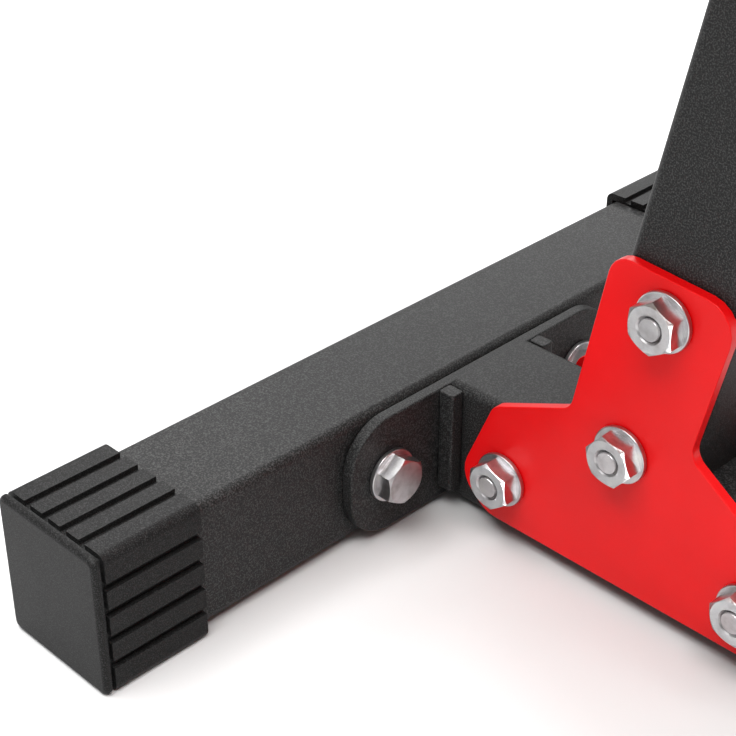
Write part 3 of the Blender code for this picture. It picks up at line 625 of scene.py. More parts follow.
def cap_master(width, height, length):
    """An end cap along +Y from its outer face at Y = 0: ribbed sleeve, rim groove and plain end face."""
    x = 0.5 * width
    z = 0.5 * height
    cap = block("cap_master", (-x, 0, -z), (x, length, z))
    round_edges(cap, 1, CAP_CORNER)
    open_up(cap, "FACE")
    for y in (CAP_RIM_START, CAP_RIM_END):
        bpy.ops.mesh.select_all(action="SELECT")
        bpy.ops.mesh.bisect(plane_co=(0, y, 0), plane_no=(0, 1, 0))
    bpy.ops.mesh.select_all(action="DESELECT")
    rim = 0.5 * (CAP_RIM_START + CAP_RIM_END)
    near_rim = 0.25 * (CAP_RIM_END - CAP_RIM_START)
    pick(cap, "faces", lambda face: abs(face.calc_center_median().y - rim) < near_rim)
    bpy.ops.mesh.extrude_region_shrink_fatten(
        TRANSFORM_OT_shrink_fatten={"value": -CAP_RIM_DEPTH, "use_even_offset": True}
    )
    close_up()
    open_up(cap)
    pick(cap, "edges", lambda edge: max(vert.co.y for vert in edge.verts) < 0.1 * MM)
    bpy.ops.mesh.bevel(offset=CAP_FACE_EASE, segments=5, affect="EDGES")
    close_up()
    inside_x = x - CAP_WALL
    inside_z = z - CAP_WALL
    past = 2 * length
    cutters = [block("cap_pocket", (-inside_x, CAP_PLATE, -inside_z), (inside_x, past, inside_z))]
    half = 0.5 * CAP_GROOVE_WIDTH
    deep = CAP_GROOVE_DEPTH
    for i in range(CAP_GROOVES):
        offset = i - 0.5 * (CAP_GROOVES - 1)
        side = offset * CAP_SIDE_PITCH
        top = offset * CAP_TOP_PITCH
        for sign in (-1, 1):
            ends = sorted((sign * (x - deep), sign * (x + deep)))
            cutters.append(block("groove", (ends[0], rim, side - half), (ends[1], past, side + half)))
        cutters.append(block("groove", (top - half, rim, z - deep), (top + half, past, z + deep)))
    combine(cap, merge(cutters, "cap_cutters"), "DIFFERENCE")
    ease(cap, CAP_EASE, 2, 45.0)
    return cap


def foot_caps():
    low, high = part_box("front_cap_near")
    size = high - low
    master = cap_master(size.x, size.z, size.y)
    for label in ("front", "rear"):
        for word, side in (("near", NEAR), ("far", FAR)):
            node = f"{label}_cap_{word}"
            low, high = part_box(node)
            outer = low.y if side == NEAR else high.y
            turn = Matrix.Rotation(0.0 if side == NEAR else math.pi, 4, "Z")
            middle = 0.5 * (low + high)
            place = Matrix.Translation((middle.x, outer, middle.z))
            cap = copy_of(master, f"{node}_moulding", place @ turn)
            hand_over(cap, CAP_MOULDING, "base", "cap_plastic", node)
    drop(master)


def eased_plate(node, material, slot, body="base", width=0.7 * MM):
    """A cut steel plate with its edges broken and painted over."""
    plate = copy_node(node, f"{node}_steel")
    ease(plate, width, 3, 50.0)
    return hand_over(plate, material, body, slot, node)


def flange_plate(node):
    """The rounded plate on the beam's end."""
    low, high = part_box(node)
    plate = block(f"{node}_steel", low, high - Vector((0, 0, FLANGE_STEP_DOWN)))
    round_edges(plate, 0, FLANGE_CORNER, 12)
    ease(plate, 0.8 * MM, 3, 50.0)
    return hand_over(plate, FRAME_PAINT, "base", "frame_black", node)


def leaning_post():
    """The post, leaning as its bolts say, its foot cut level on the beam."""
    foot_bolt = sum(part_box("gusset_bolt_2"), Vector()) * 0.5
    upper_bolt = sum(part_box("gusset_bolt_3"), Vector()) * 0.5
    direction = (upper_bolt - foot_bolt).normalized()
    low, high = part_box("post")
    half = 0.5 * (high.y - low.y)
    top = (high.z - half * direction.x - foot_bolt.z) / direction.z
    post = tube_along("post_tube", 2, (-half, -half, -POST_SPARE), (half, half, top))
    lean = math.atan2(direction.x, direction.z)
    post.data.transform(Matrix.Translation((foot_bolt.x, 0, foot_bolt.z)) @ Matrix.Rotation(lean, 4, "Y"))
    open_up(post, "FACE")
    bpy.ops.mesh.select_all(action="SELECT")
    bpy.ops.mesh.bisect(plane_co=(0, 0, low.z), plane_no=(0, 0, 1), clear_inner=True, use_fill=True)
    close_up()
    ease(post, TUBE_END_EASE, 2, 60.0)
    return hand_over(post, FRAME_PAINT, "base", "frame_black", "post")


# Fasteners

def hexagon(name, across_flats, height):
    """A hexagon whose corners are turned off at the top, as on every nut and bolt head."""
    corner = across_flats / math.sqrt(3)
    made = rod(name, corner, 0.0, height, 6)
    shoulder = height - HEXAGON_TURNED_OFF
    turning = turned("turning", (
        (0.0, -MM), (1.2 * corner, -MM), (1.2 * corner, shoulder),
        (corner, shoulder), (0.5 * across_flats - 0.2 * MM, height), (0.0, height),
    ), 64)
    combine(made, turning, "INTERSECT")
    return made


def nut_master(size):
    """A nut on its washer, with the bolt's end flush in its countersink; Z = 0 is the clamped face."""
    thread = size["shank"]
    rise = WASHER_THICK + size["nut"]
    nut = hexagon("nut", size["across_flats"], size["nut"])
    nut.data.transform(Matrix.Translation((0, 0, WASHER_THICK)))
    hole = thread - COUNTERSINK
    above = rise + 0.05 * MM
    sink = turned("sink", (
        (0.0, 0.5 * rise), (hole, 0.5 * rise), (hole, rise - COUNTERSINK),
        (thread + 0.05 * MM, above), (0.0, above),
    ), 48)
    combine(nut, sink, "DIFFERENCE")
    ease(nut, 0.25 * MM, 2, 28.0)
    end = rise + STAND_OUT - 0.3 * MM
    core = hole - 0.05 * MM
    bolt_end = turned("bolt_end", (
        (0.0, 0.3 * rise), (core, 0.3 * rise), (core, end - 0.5 * MM), (core - 0.3 * MM, end), (0.0, end),
    ), 40)
    smooth(bolt_end)
    return merge([nut, washer(size), bolt_end], "nut_master")


def washer(size):
    soft = WASHER_SOFT_EDGE
    flat = size["washer"] - soft
    profile = [(size["shank"], 0.0), (flat, 0.0)]
    profile += arc(flat, soft, soft, -60, 0, 3)
    profile += arc(flat, WASHER_THICK - soft, soft, 0, 90, 4)
    profile += [(size["shank"], WASHER_THICK), (size["shank"], 0.0)]
    made = turned("washer", profile, 56)
    smooth(made)
    return made


def head_master(size):
    """A hexagon head on its washer; Z = 0 is the clamped face."""
    head = hexagon("head", size["across_flats"], size["head"])
    head.data.transform(Matrix.Translation((0, 0, WASHER_THICK)))
    ease(head, 0.3 * MM, 2, 28.0)
    return merge([head, washer(size)], "head_master")


def fasteners():
    """Every bolt of the frame: the side its head is on, and how far its head and nut are turned."""
    masters = {name: (head_master(size), nut_master(size)) for name, size in FASTENERS.items()}
    rows = [
        ("gusset_bolt_1", Y_AXIS, 8), ("gusset_bolt_2", Y_AXIS, 20),
        ("gusset_bolt_3", Y_AXIS, 2), ("gusset_bolt_4", Y_AXIS, 14),
        ("head_bolt_lower", Y_AXIS, 25), ("head_bolt_upper", Y_AXIS, 5),
        ("back_pivot_bolt", Y_AXIS, 11), ("seat_pivot_bolt", Y_AXIS, 29),
        ("front_flange_bolt_near", X_AXIS, 0), ("front_flange_bolt_far", X_AXIS, 17),
        ("rear_flange_bolt_near", -X_AXIS, 9), ("rear_flange_bolt_far", -X_AXIS, 26),
        ("wheel_axle_near", -Y_AXIS, 4), ("wheel_axle_far", Y_AXIS, 21),
    ]
    for node, head_way, turn in rows:
        low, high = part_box(node)
        middle = 0.5 * (low + high)
        axis = max(range(3), key=lambda i: abs(head_way[i]))
        span = 0.5 * (high - low)[axis]
        across = 0.5 * min((high - low)[i] for i in range(3) if i != axis)
        name = "M12" if across > WASHER_ABOVE_M10 else "M10"
        size = FASTENERS[name]
        head, nut = masters[name]
        head_face = middle + head_way * (span - WASHER_THICK - size["head"])
        nut_face = middle - head_way * (span - WASHER_THICK - size["nut"] - STAND_OUT)
        shank = rod("shank", size["shank"] - 0.1 * MM, 0.0, (head_face - nut_face).length, 32)
        smooth(shank)
        pieces = [
            copy_of(head, "head", frame_toward(head_face, head_way, turn)),
            copy_of(nut, "nut", frame_toward(nut_face, -head_way, turn)),
            copy_of(shank, "shank", frame_toward(nut_face, head_way)),
        ]
        drop(shank)
        bolt = merge(pieces, f"{node}_hardware")
        hand_over(bolt, ZINC_PLATE, "base", "zinc", node)
    for pair in masters.values():
        drop(*pair)


# Welds

def weld(name, start, end, radius):
    """A rippled fillet of weld between two points, painted with the frame."""
    start = Vector(start)
    end = Vector(end)
    length = (end - start).length
    ripples = max(3, round(length / RIPPLE))
    step = length / ripples
    bpy.ops.object.select_all(action="DESELECT")
    bpy.ops.mesh.primitive_circle_add(vertices=10, radius=BEAD_END * radius, fill_type="NGON")
    bead = bpy.context.object
    open_up(bead, "FACE")
    bpy.ops.mesh.select_all(action="SELECT")
    factors = [RIPPLE_SWELL, 1.0 / RIPPLE_SWELL] * ripples
    factors[0] = 1.0 / BEAD_END
    factors[-1] = BEAD_END
    for i, factor in enumerate(factors):
        part = (0.35, 0.65)[i % 2]
        bpy.ops.mesh.extrude_region_move(TRANSFORM_OT_translate={"value": (0, 0, part * step)})
        bpy.ops.transform.resize(value=(factor, factor, 1.0))
    bpy.ops.mesh.select_all(action="SELECT")
    bpy.ops.mesh.normals_make_consistent(inside=False)
    close_up()
    bead.data.transform(frame_toward(start, end - start))
    take(bead)
    bpy.ops.object.shade_smooth()
    bead.name = name
    bead.data.name = name
    return bead


def weld_group(name, lines, radius, body):
    """Several beads as one piece: each line is a start and an end."""
    beads = [weld(f"{name}_{i}", start, end, radius) for i, (start, end) in enumerate(lines)]
    made = merge(beads, name)
    hand_over(made, FRAME_PAINT, body, "frame_black")


def frame_welds():
    low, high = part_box("main_beam")
    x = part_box("rear_flange")[0].x - BEAD_SUNK
    lines = []
    for side in (NEAR, FAR):
        y = side * (high.y + BEAD_SUNK)
        lines.append(((x, y, low.z + BEAD_MARGIN), (x, y, high.z - BEAD_MARGIN)))
    weld_group("rear_flange_weld", lines, BEAD, "base")
    foot_low, foot_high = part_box("rest_post")
    z = foot_low.z + BEAD_SUNK
    edge = TUBE_CORNER
    lines = []
    for side in (NEAR, FAR):
        y = side * foot_high.y
        lines.append(((foot_low.x + edge, y, z), (foot_high.x - edge, y, z)))
    for x in (foot_low.x, foot_high.x):
        lines.append(((x, foot_low.y + edge, z), (x, foot_high.y - edge, z)))
    weld_group("rest_post_weld", lines, BEAD, "base")
    lines = []
    for word in ("near", "far"):
        ear_low, ear_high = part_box(f"wheel_ear_{word}")
        for y in (ear_low.y, ear_high.y):
            start = (ear_low.x, y, ear_low.z + BEAD_MARGIN)
            lines.append((start, (ear_low.x, y, ear_high.z - BEAD_MARGIN)))
    weld_group("wheel_ear_weld", lines, BEAD, "base")
    for body in ("seat", "back"):
        rail_low, rail_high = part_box(f"{body}_rail")
        lines = []
        for word in ("front", "rear"):
            low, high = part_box(f"{body}_bracket_{word}")
            for side in (NEAR, FAR):
                y = side * (rail_high.y + 0.4 * MM)
                z = low.z - 0.9 * MM
                lines.append(((low.x + 2 * MM, y, z), (high.x - 2 * MM, y, z)))
        low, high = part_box(f"{body}_sector")
        pivot = 0.5 * sum(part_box(f"{body}_pivot_bolt"), Vector()).x
        start, end = (pivot + offset for offset in SECTOR_WELD[body])
        for y in (low.y, high.y):
            lines.append(((start, y, rail_low.z), (end, y, rail_low.z)))
        weld_group(f"{body}_frame_weld", lines, RAIL_BEAD, body)


# Plugs, screws, pins, handle and bumper

def plug(node, body):
    """A plastic plug whose eased face shows in the rail's end."""
    made = copy_node(node, f"{node}_moulding")
    ease(made, 0.8 * MM, 3, 50.0)
    hand_over(made, CAP_MOULDING, body, "cap_plastic", node)


def screw_master():
    """A pan-head screw with a hexagon socket, its head along +Z from Z = 0."""
    head = turned("screw", (
        (0.0, 0.0), (5.2 * MM, 0.0), (5.2 * MM, 0.6 * MM), (4.6 * MM, 2.0 * MM),
        (3.2 * MM, 2.9 * MM), (0.0, 3.0 * MM),
    ), 32)
    combine(head, rod("socket", 2.3 * MM, 1.2 * MM, 4.0 * MM, 6), "DIFFERENCE")
    ease(head, 0.2 * MM, 2, 35.0)
    return head


def bracket_screws():
    master = screw_master()
    for body in ("seat", "back"):
        for word in ("front", "rear"):
            node = f"{body}_bracket_{word}"
            low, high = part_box(node)
            middle = 0.5 * (low + high)
            copies = []
            for y in SCREW_PLACES:
                place = (middle.x, y, low.z)
                turn = SCREW_TURN_PER_METRE * y
                copies.append(copy_of(master, "screw", frame_toward(place, -Z_AXIS, turn)))
            hand_over(merge(copies, f"{node}_screws"), ZINC_PLATE, body, "zinc")
    drop(master)


def inner_end(node, side):
    """The middle of a turned piece's end that faces the bench, with its radius and its length."""
    low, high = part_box(node)
    middle = 0.5 * (low + high)
    middle.y = low.y if side == FAR else high.y
    return middle, 0.5 * (high.x - low.x), high.y - low.y


def pull_pin(label, side):
    """Barrel, sliding pin and knob, turned in one line across the bench."""
    outward = Y_AXIS * side
    base, radius, length = inner_end(f"{label}_pin_barrel", side)
    bore = 4.5 * MM
    nut = hexagon("barrel_hex", 2 * radius * math.cos(math.pi / 6), 8 * MM)
    combine(nut, rod("bore", bore, -MM, 10 * MM), "DIFFERENCE")
    ease(nut, 0.25 * MM, 2, 28.0)
    neck = radius - 1.4 * MM
    groove = neck - 0.8 * MM
    profile = [
        (bore, 0.5 * MM), (neck, 0.5 * MM), (neck, 9 * MM), (groove, 9.8 * MM), (groove, 11 * MM),
        (neck, 11.8 * MM),
    ]
    profile += arc(neck - 1.6 * MM, length - 1.6 * MM, 1.6 * MM, 0, 90, 4)
    profile += [(bore, length), (bore, 0.5 * MM)]
    sleeve = turned("barrel_sleeve", profile, 48)
    smooth(sleeve, 25.0)
    barrel = merge([nut, sleeve], f"{label}_pin_barrel_turning")
    barrel.data.transform(frame_toward(base, outward, 10))
    hand_over(barrel, ZINC_PLATE, "base", "zinc", f"{label}_pin_barrel")
    start, radius, length = inner_end(f"{label}_pull_pin", side)
    pin = turned(f"{label}_pull_pin_turning", (
        (0.0, 0.0), (radius - 1.4 * MM, 0.0), (radius - 0.9 * MM, 0.3 * MM), (radius, 1.8 * MM),
        (radius, length), (0.0, length),
    ), 36)
    smooth(pin)
    pin.data.transform(frame_toward(start, outward))
    hand_over(pin, ZINC_PLATE, f"{label}_pin", "zinc", f"{label}_pull_pin")
    start, radius, length = inner_end(f"{label}_pin_knob", side)
    crown = radius * 0.62
    profile = [(0.0, 0.0), (0.55 * radius, 0.0), (0.58 * radius, 0.6 * MM), (0.60 * radius, 3 * MM)]
    profile += arc(radius - 3.0 * MM, 8.0 * MM, 3.0 * MM, -70, 0, 4)
    profile += [(radius, length - crown)]
    for angle in (0.25, 0.5, 0.75, 1.0, 1.25, 1.45):
        profile.append((radius * math.cos(angle), length - crown + crown * math.sin(angle)))
    profile += [(0.0, length)]
    knob = turned(f"{label}_pin_knob_moulding", profile, 48)
    open_up(knob, "FACE")

    def in_flute(face):
        middle = face.calc_center_median()
        sector = math.degrees(math.atan2(middle.y, middle.x)) % 45.0
        return abs(face.normal.z) < 0.35 and middle.xy.length > 0.8 * radius and sector < 22.0

    pick(knob, "faces", in_flute)
    bpy.ops.mesh.inset(thickness=0.5 * MM, depth=-0.9 * MM)
    close_up()
    use_modifier(
        knob, "BEVEL", width=0.4 * MM, segments=2, limit_method="ANGLE", angle_limit=math.radians(35)
    )
    smooth(knob, 50.0)
    knob.data.transform(frame_toward(start, outward))
    hand_over(knob, CAP_MOULDING, f"{label}_pin", "cap_plastic", f"{label}_pin_knob")


def seat_handle():
    """The bent bar at the seat's front, with a ribbed rubber grip on its cross part."""
    low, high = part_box("seat_handle")
    radius = 0.5 * (high.z - low.z)
    z = 0.5 * (low.z + high.z)
    bend = 30 * MM
    half = high.y - radius
    front = low.x + radius
    points = [Vector((high.x, half, z)), Vector((front + bend + 20 * MM, half, z))]
    for sweep in ((90, 180, 1), (180, 270, -1)):
        centre = Vector((front + bend, sweep[2] * (half - bend), z))
        for i in range(9):
            angle = math.radians(sweep[0] + (sweep[1] - sweep[0]) * i / 8)
            points.append(centre + bend * Vector((math.cos(angle), math.sin(angle), 0)))
    points += [Vector((front + bend + 20 * MM, -half, z)), Vector((high.x, -half, z))]
    bar = swept("seat_handle_bar", points, radius, 6, False)
    hand_over(bar, FRAME_PAINT, "seat", "frame_black", "seat_handle")
    grip_half = half - bend
    outer = radius + 0.5 * MM
    collar = outer + 0.8 * MM
    valley = outer - 0.7 * MM
    inside = radius - 0.6 * MM
    ribbed_half = grip_half - 3 * MM
    profile = [(inside, -grip_half), (collar, -grip_half), (collar, -ribbed_half)]
    ribs = 9
    pitch = 2 * ribbed_half / ribs
    for i in range(ribs):
        start = i * pitch - ribbed_half
        profile += [(valley, start + 0.10 * pitch), (valley, start + 0.30 * pitch)]
        profile += [(outer, start + 0.45 * pitch), (outer, start + 0.85 * pitch)]
    profile += [(collar, ribbed_half), (collar, grip_half), (inside, grip_half)]
    profile.append(profile[0])
    grip = turned("seat_handle_grip", profile, 48)
    ease(grip, 0.3 * MM, 2, 30.0)
    grip.data.transform(frame_toward((front, 0, z), Y_AXIS))
    hand_over(grip, RUBBER, "seat", "rubber")


def swept(name, points, radius, resolution, closed):
    """A round bar or cord along a line of points, as a closed mesh."""
    curve = bpy.data.curves.new(name, "CURVE")
    curve.dimensions = "3D"
    curve.bevel_depth = radius
    curve.bevel_resolution = resolution
    curve.use_fill_caps = not closed
    spline = curve.splines.new("POLY")
    spline.points.add(len(points) - 1)
    for point, place in zip(spline.points, points):
        point.co = (*place, 1.0)
    spline.use_cyclic_u = closed
    obj = bpy.data.objects.new(name, curve)
    bpy.context.scene.collection.objects.link(obj)
    take(obj)
    bpy.ops.object.convert(target="MESH")
    obj = bpy.context.object
    open_up(obj, "VERT")
    bpy.ops.mesh.select_all(action="SELECT")
    bpy.ops.mesh.remove_doubles(threshold=0.00001)
    bpy.ops.mesh.normals_make_consistent(inside=False)
    close_up()
    smooth(obj, 50.0)
    return obj


def rest_bumper():
    """A ribbed rubber block on the rest post."""
    low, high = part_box("rest_bumper")
    made = block("rest_bumper_block", low, high)
    round_edges(made, 2, 6 * MM)
    grooves = 5
    half = 1.1 * MM
    cutters = []
    for i in range(grooves):
        x = low.x + (i + 1) * (high.x - low.x) / (grooves + 1)
        start = (x - half, low.y - MM, high.z - 1.6 * MM)
        cutters.append(block("groove", start, (x + half, high.y + MM, high.z + MM)))
    combine(made, merge(cutters, "groove_cutters"), "DIFFERENCE")
    ease(made, 0.7 * MM, 3, 50.0)
    hand_over(made, RUBBER, "base", "rubber", "rest_bumper")


def wheel(word, side):
    """A rubber tyre with a notched tread on a ribbed nylon hub."""
    low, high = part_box(f"wheel_{word}")
    middle = 0.5 * (low + high)
    radius = 0.5 * (high.z - low.z)
    half = 0.5 * (high.y - low.y)
    inner = 0.70 * radius
    shoulder = 3.2 * MM
    profile = [(inner, -half + 0.8 * MM)]
    profile += arc(radius - shoulder, -half + shoulder, shoulder, -90, 0, 5)
    profile += arc(radius - shoulder, half - shoulder, shoulder, 0, 90, 5)
    profile += [(inner, half - 0.8 * MM), (inner, -half + 0.8 * MM)]
    tyre = turned(f"wheel_{word}_tyre", profile, 72)
    open_up(tyre, "FACE")

    def in_notch(face):
        place = face.calc_center_median()
        sector = math.degrees(math.atan2(place.y, place.x)) % 15.0
        return face.normal.z ** 2 < 0.02 and place.xy.length > 0.95 * radius and sector < 5.0

    pick(tyre, "faces", in_notch)
    bpy.ops.mesh.inset(thickness=0.3 * MM, depth=-1.2 * MM)
    close_up()
    smooth(tyre, 35.0)
    matrix = frame_toward(middle, Y_AXIS * side)
    tyre.data.transform(matrix)
    hand_over(tyre, RUBBER, f"wheel_{word}", "rubber", f"wheel_{word}")
    bore = 5.6 * MM
    boss = 10.8 * MM
    web = 0.45 * half
    rim = inner - 2.4 * MM
    side_of_rim = half - 1.2 * MM
    hub = turned(f"wheel_{word}_hub", [
        (bore, -half), (boss, -half), (boss, -web), (rim, -web), (rim, -side_of_rim),
        (inner, -side_of_rim), (inner, side_of_rim), (rim, side_of_rim),
        (rim, web), (boss, web), (boss, half), (bore, half), (bore, -half),
    ], 60)
    ribs = []
    depth = half - 2.0 * MM
    for i in range(6):
        rib = block("rib", (boss - 0.8 * MM, -MM, -depth), (inner - 1.6 * MM, MM, depth))
        rib.data.transform(Matrix.Rotation(math.radians(60 * i), 4, "Z"))
        ribs.append(rib)
    combine(hub, merge(ribs, "hub_ribs"), "UNION")
    ease(hub, 0.35 * MM, 2, 40.0)
    hub.data.transform(matrix)
    hand_over(hub, HUB_NYLON, f"wheel_{word}", "cap_plastic")


# Boards and pads

def board(label):
    low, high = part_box(f"{label}_board")
    made = block(f"{label}_board_ply", low, high)
    round_edges(made, 2, 20 * MM, 10)
    ease(made, 0.9 * MM, 3, 50.0)
    hand_over(made, PLYWOOD, label, "board_wood", f"{label}_board")


def swell(pad):
    """Let the cover swell under the foam's push, with its base held flat on the board."""
    rest = [vert.co.copy() for vert in pad.data.vertices]
    floor = min(place.z for place in rest)
    held = pad.vertex_groups.new(name="held")
    held.add([i for i, place in enumerate(rest) if place.z < floor + 4 * MM], 1.0, "REPLACE")
    cloth = pad.modifiers.new("cover", "CLOTH")
    cloth.settings.vertex_group_mass = "held"
    cloth.settings.use_pressure = True
    cloth.settings.uniform_pressure_force = FOAM_PRESSURE
    cloth.settings.effector_weights.gravity = 0.0
    cloth.settings.quality = 5
    scene = bpy.context.scene
    for step in range(1, SWELL_FRAMES + 1):
        scene.frame_set(step)
    shown = pad.evaluated_get(bpy.context.evaluated_depsgraph_get())
    moved = [vert.co.copy() for vert in shown.data.vertices]
    pad.modifiers.remove(cloth)
    scene.frame_set(1)
    for vert, before, after in zip(pad.data.vertices, rest, moved):
        step = after - before
        vert.co = before + step * min(1.0, SWELL_LIMIT / max(step.length, 1e-9))


def outline(low, high, inset, spacing):
    """Points round a pad's rounded outline, each with the way that faces out of it."""
    corner = max(PAD_CORNER - inset, 6 * MM)
    x0 = low.x + inset + corner
    x1 = high.x - inset - corner
    y0 = low.y + inset + corner
    y1 = high.y - inset - corner
    centres = ((x1, y1, 0), (x0, y1, 90), (x0, y0, 180), (x1, y0, 270))
    points = []
    for i, (x, y, start) in enumerate(centres):
        steps = max(3, round(0.5 * math.pi * corner / spacing))
        for k in range(steps + 1):
            angle = math.radians(start + 90 * k / steps)
            facing = Vector((math.cos(angle), math.sin(angle), 0))
            points.append((Vector((x, y, 0)) + corner * facing, facing))
        next_x, next_y = centres[(i + 1) % 4][:2]
        turn = math.radians(start + 90)
        facing = Vector((math.cos(turn), math.sin(turn), 0))
        first = Vector((x, y, 0)) + corner * facing
        last = Vector((next_x, next_y, 0)) + corner * facing
        count = max(1, round((last - first).length / spacing))
        for k in range(1, count):
            points.append((first.lerp(last, k / count), facing))
    return points


def stitches(name, places, body):
    """A row of short thread stitches: each place is a point, the way along and the way up."""
    shape = bmesh.new()
    for point, along, up in places:
        across = up.cross(along).normalized()
        turn = Matrix((along.normalized(), across, up)).transposed().to_4x4()
        size = Matrix.Diagonal((1.7 * MM, 0.45 * MM, 0.40 * MM, 1.0))
        bmesh.ops.create_uvsphere(
            shape, u_segments=6, v_segments=5, radius=1.0, matrix=Matrix.Translation(point) @ turn @ size
        )
    data = bpy.data.meshes.new(name)
    shape.to_mesh(data)
    shape.free()
    obj = bpy.data.objects.new(name, data)
    bpy.context.scene.collection.objects.link(obj)
    take(obj)
    bpy.ops.object.shade_smooth()
    hand_over(obj, STITCH_THREAD, body, "pad_vinyl")


def sew(pad, lines):
    """Pull the top of the pad down along sewn channels that cross it, at places in X."""
    top = max(vert.co.z for vert in pad.data.vertices)
    bottom = min(vert.co.z for vert in pad.data.vertices)
    for vert in pad.data.vertices:
        rise = (vert.co.z - bottom) / (top - bottom)
        if rise < 0.45:
            continue
        share = min(1.0, (rise - 0.45) / 0.35)
        for x in lines:
            gap = (vert.co.x - x) / CHANNEL_WIDTH
            if abs(gap) < 4.0:
                vert.co.z -= CHANNEL_DEPTH * share * math.exp(-gap * gap)


def pad(label, channels):
    """A foam pad in a stitched vinyl cover, with piping round its sides."""
    node = f"{label}_pad"
    low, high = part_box(node)
    room = Vector((COVER_ROOM, COVER_ROOM, 0))
    top = high.z - CROWN_ROOM
    made = block(f"{label}_cushion", low + room, high - room - Vector((0, 0, CROWN_ROOM)))
    round_edges(made, 2, PAD_CORNER - 2 * MM, 8)
    open_up(made)
    pick(made, "edges", lambda edge: min(vert.co.z for vert in edge.verts) > top - MM)
    bpy.ops.mesh.bevel(offset=PAD_ROUND, segments=4, affect="EDGES")
    close_up()
    use_modifier(made, "REMESH", mode="VOXEL", voxel_size=0.0055)
    swell(made)
    use_modifier(made, "SMOOTH", factor=0.5, iterations=14)
    use_modifier(made, "SUBSURF", levels=1, render_levels=1)
    sew(made, channels)
    take(made)
    bpy.ops.object.shade_smooth()
    surface = BVHTree.FromObject(made, bpy.context.evaluated_depsgraph_get())
    above = Z_AXIS * (high.z + RAY_ROOM)
    band = low.z + SEAM_HEIGHT * (high.z - low.z)
    cord = []
    for place, facing in outline(low, high, 0.0, 5 * MM):
        origin = place + Z_AXIS * band + facing * RAY_ROOM
        hit = surface.ray_cast(origin, -facing)[0]
        if hit is not None:
            cord.append(hit - facing * 0.4 * MM)
    piping = swept(f"{label}_piping", cord, PIPING_RADIUS, 3, True)
    hand_over(piping, PIPING_VINYL, label, "pad_vinyl")
    rows = []
    for place, facing in outline(low, high, STITCH_INSET, STITCH_PITCH):
        hit, up = surface.ray_cast(place + above, -Z_AXIS)[:2]
        if hit is not None:
            along = up.cross(facing).normalized()
            rows.append((hit + up * 0.1 * MM, along, up))
    first = low.y + CHANNEL_MARGIN
    length = high.y - CHANNEL_MARGIN - first
    count = round(length / STITCH_PITCH)
    for x in channels:
        for offset in (-CHANNEL_STITCH, CHANNEL_STITCH):
            for k in range(count + 1):
                y = first + length * k / count
                hit, up = surface.ray_cast(Vector((x + offset, y, 0)) + above, -Z_AXIS)[:2]
                if hit is not None:
                    rows.append((hit + up * 0.1 * MM, Y_AXIS - up * up.y, up))
    stitches(f"{label}_stitching", rows, label)
    hand_over(made, PAD_VINYL, label, "pad_vinyl", node)


# Putting it together

def camera():
    """Looks down at the seat-end foot from the near side, beyond the post."""
    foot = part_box("front_crossbar")[1].x
    lens = bpy.data.cameras.new("camera")
    lens.lens = LENS
    lens.sensor_width = 36.0
    lens.clip_start = 0.01
    obj = bpy.data.objects.new("camera", lens)
    bpy.context.scene.collection.objects.link(obj)
    obj.location = Vector((foot, 0.0, 0.0)) + Vector(CAMERA_PLACE)
    obj.rotation_euler = Vector(CAMERA_AIM).to_track_quat("-Z", "Y").to_euler()
    bpy.context.scene.camera = obj


def soft_light(name, direction, energy, spread):
    """A broad, even light that shines along a direction; spread is its width in degrees."""
    light = bpy.data.lights.new(name, "SUN")
    light.energy = energy
    light.angle = math.radians(spread)
    obj = bpy.data.objects.new(name, light)
    bpy.context.scene.collection.objects.link(obj)
    obj.rotation_euler = Vector(direction).to_track_quat("-Z", "Y").to_euler()


def backdrop():
    """White walls all round, which light the bench only faintly."""
    world = bpy.data.worlds.new("studio")
    world.use_nodes = True
    tree = world.node_tree
    walls = tree.nodes["Background"]
    walls.inputs["Strength"].default_value = 0.35
    walls.inputs["Color"].default_value = (1, 1, 1, 1)
    seen = tree.nodes.new("ShaderNodeBackground")
    seen.inputs["Color"].default_value = (1, 1, 1, 1)
    path = tree.nodes.new("ShaderNodeLightPath")
    either = tree.nodes.new("ShaderNodeMixShader")
    tree.links.new(path.outputs["Is Camera Ray"], either.inputs[0])
    tree.links.new(walls.outputs[0], either.inputs[1])
    tree.links.new(seen.outputs[0], either.inputs[2])
    tree.links.new(either.outputs[0], tree.nodes["World Output"].inputs["Surface"])
    bpy.context.scene.world = world


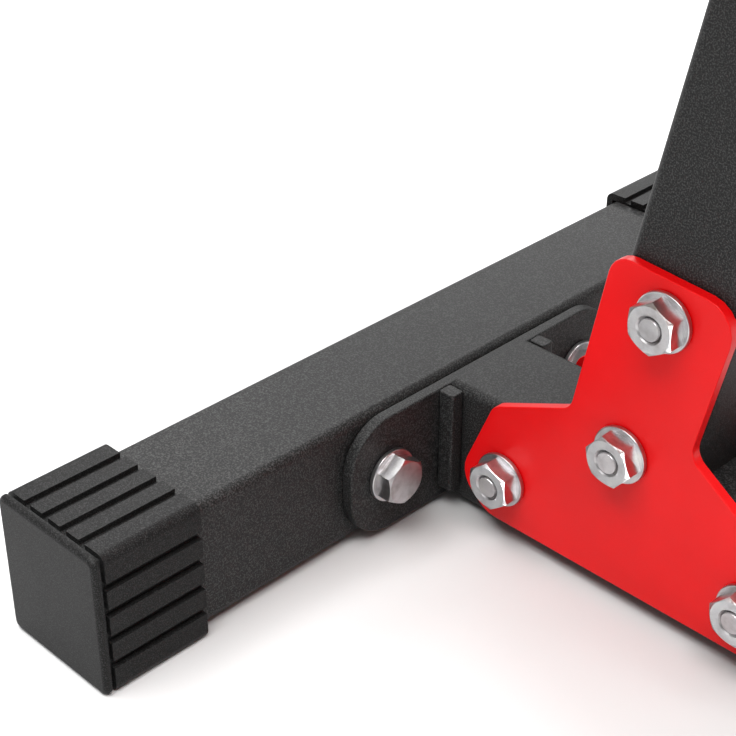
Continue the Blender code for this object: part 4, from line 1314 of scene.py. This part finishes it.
def studio():
    """A pale floor under a large soft light from above and a weaker one from behind."""
    bpy.ops.object.select_all(action="DESELECT")
    bpy.ops.mesh.primitive_plane_add(size=60, location=(0, 0, 0))
    floor = bpy.context.object
    floor.name = "floor"
    paper = Finish("floor_paper", (0.51, 0.51, 0.51), 0.9, Specular_IOR_Level=0.0)
    paper.colour(paper.ramp(paper.noise(0.8, 2.0), (0.3, 0.515), (0.7, 0.525)))
    floor.data.materials.append(paper.material)
    soft_light("ceiling", (-0.06, 0.09, -1.0), 9.0, 64)
    soft_light("back_light", (0.60, -0.60, -0.53), 1.0, 24)
    backdrop()
    bpy.context.scene.view_settings.view_transform = "Standard"


def weight_bench():
    square_tube("front_crossbar", 1)
    square_tube("rear_crossbar", 1)
    square_tube("main_beam", 0)
    square_tube("rest_post", 2)
    square_tube("seat_rail", 0, "seat")
    square_tube("back_rail", 0, "back")
    leaning_post()
    foot_caps()
    flange_plate("front_flange")
    flange_plate("rear_flange")
    for word in ("near", "far"):
        eased_plate(f"front_strip_{word}", FRAME_PAINT, "frame_black", width=0.5 * MM)
        eased_plate(f"gusset_plate_{word}", PLATE_PAINT, "plate_red", width=0.8 * MM)
        eased_plate(f"head_plate_{word}", PLATE_PAINT, "plate_red", width=0.8 * MM)
        eased_plate(f"wheel_ear_{word}", FRAME_PAINT, "frame_black")
    for body in ("seat", "back"):
        eased_plate(f"{body}_sector", PLATE_PAINT, "plate_red", body)
        bush = copy_node(f"{body}_bush", f"{body}_bush_spool")
        ease(bush, 0.4 * MM, 2, 50.0)
        hand_over(bush, BUSH_NYLON, body, "bush_nylon", f"{body}_bush")
        for word in ("front", "rear"):
            eased_plate(f"{body}_bracket_{word}", FRAME_PAINT, "frame_black", body)
    fasteners()
    frame_welds()
    plug("seat_rail_plug", "seat")
    plug("back_rail_plug", "back")
    bracket_screws()
    pull_pin("back", NEAR)
    pull_pin("seat", FAR)
    seat_handle()
    rest_bumper()
    wheel("near", NEAR)
    wheel("far", FAR)
    board("seat")
    board("back")
    low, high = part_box("back_pad")
    length = high.x - low.x
    pad("back", (low.x + 0.30 * length, low.x + 0.65 * length))
    pad("seat", ())


camera()
studio()
weight_bench()
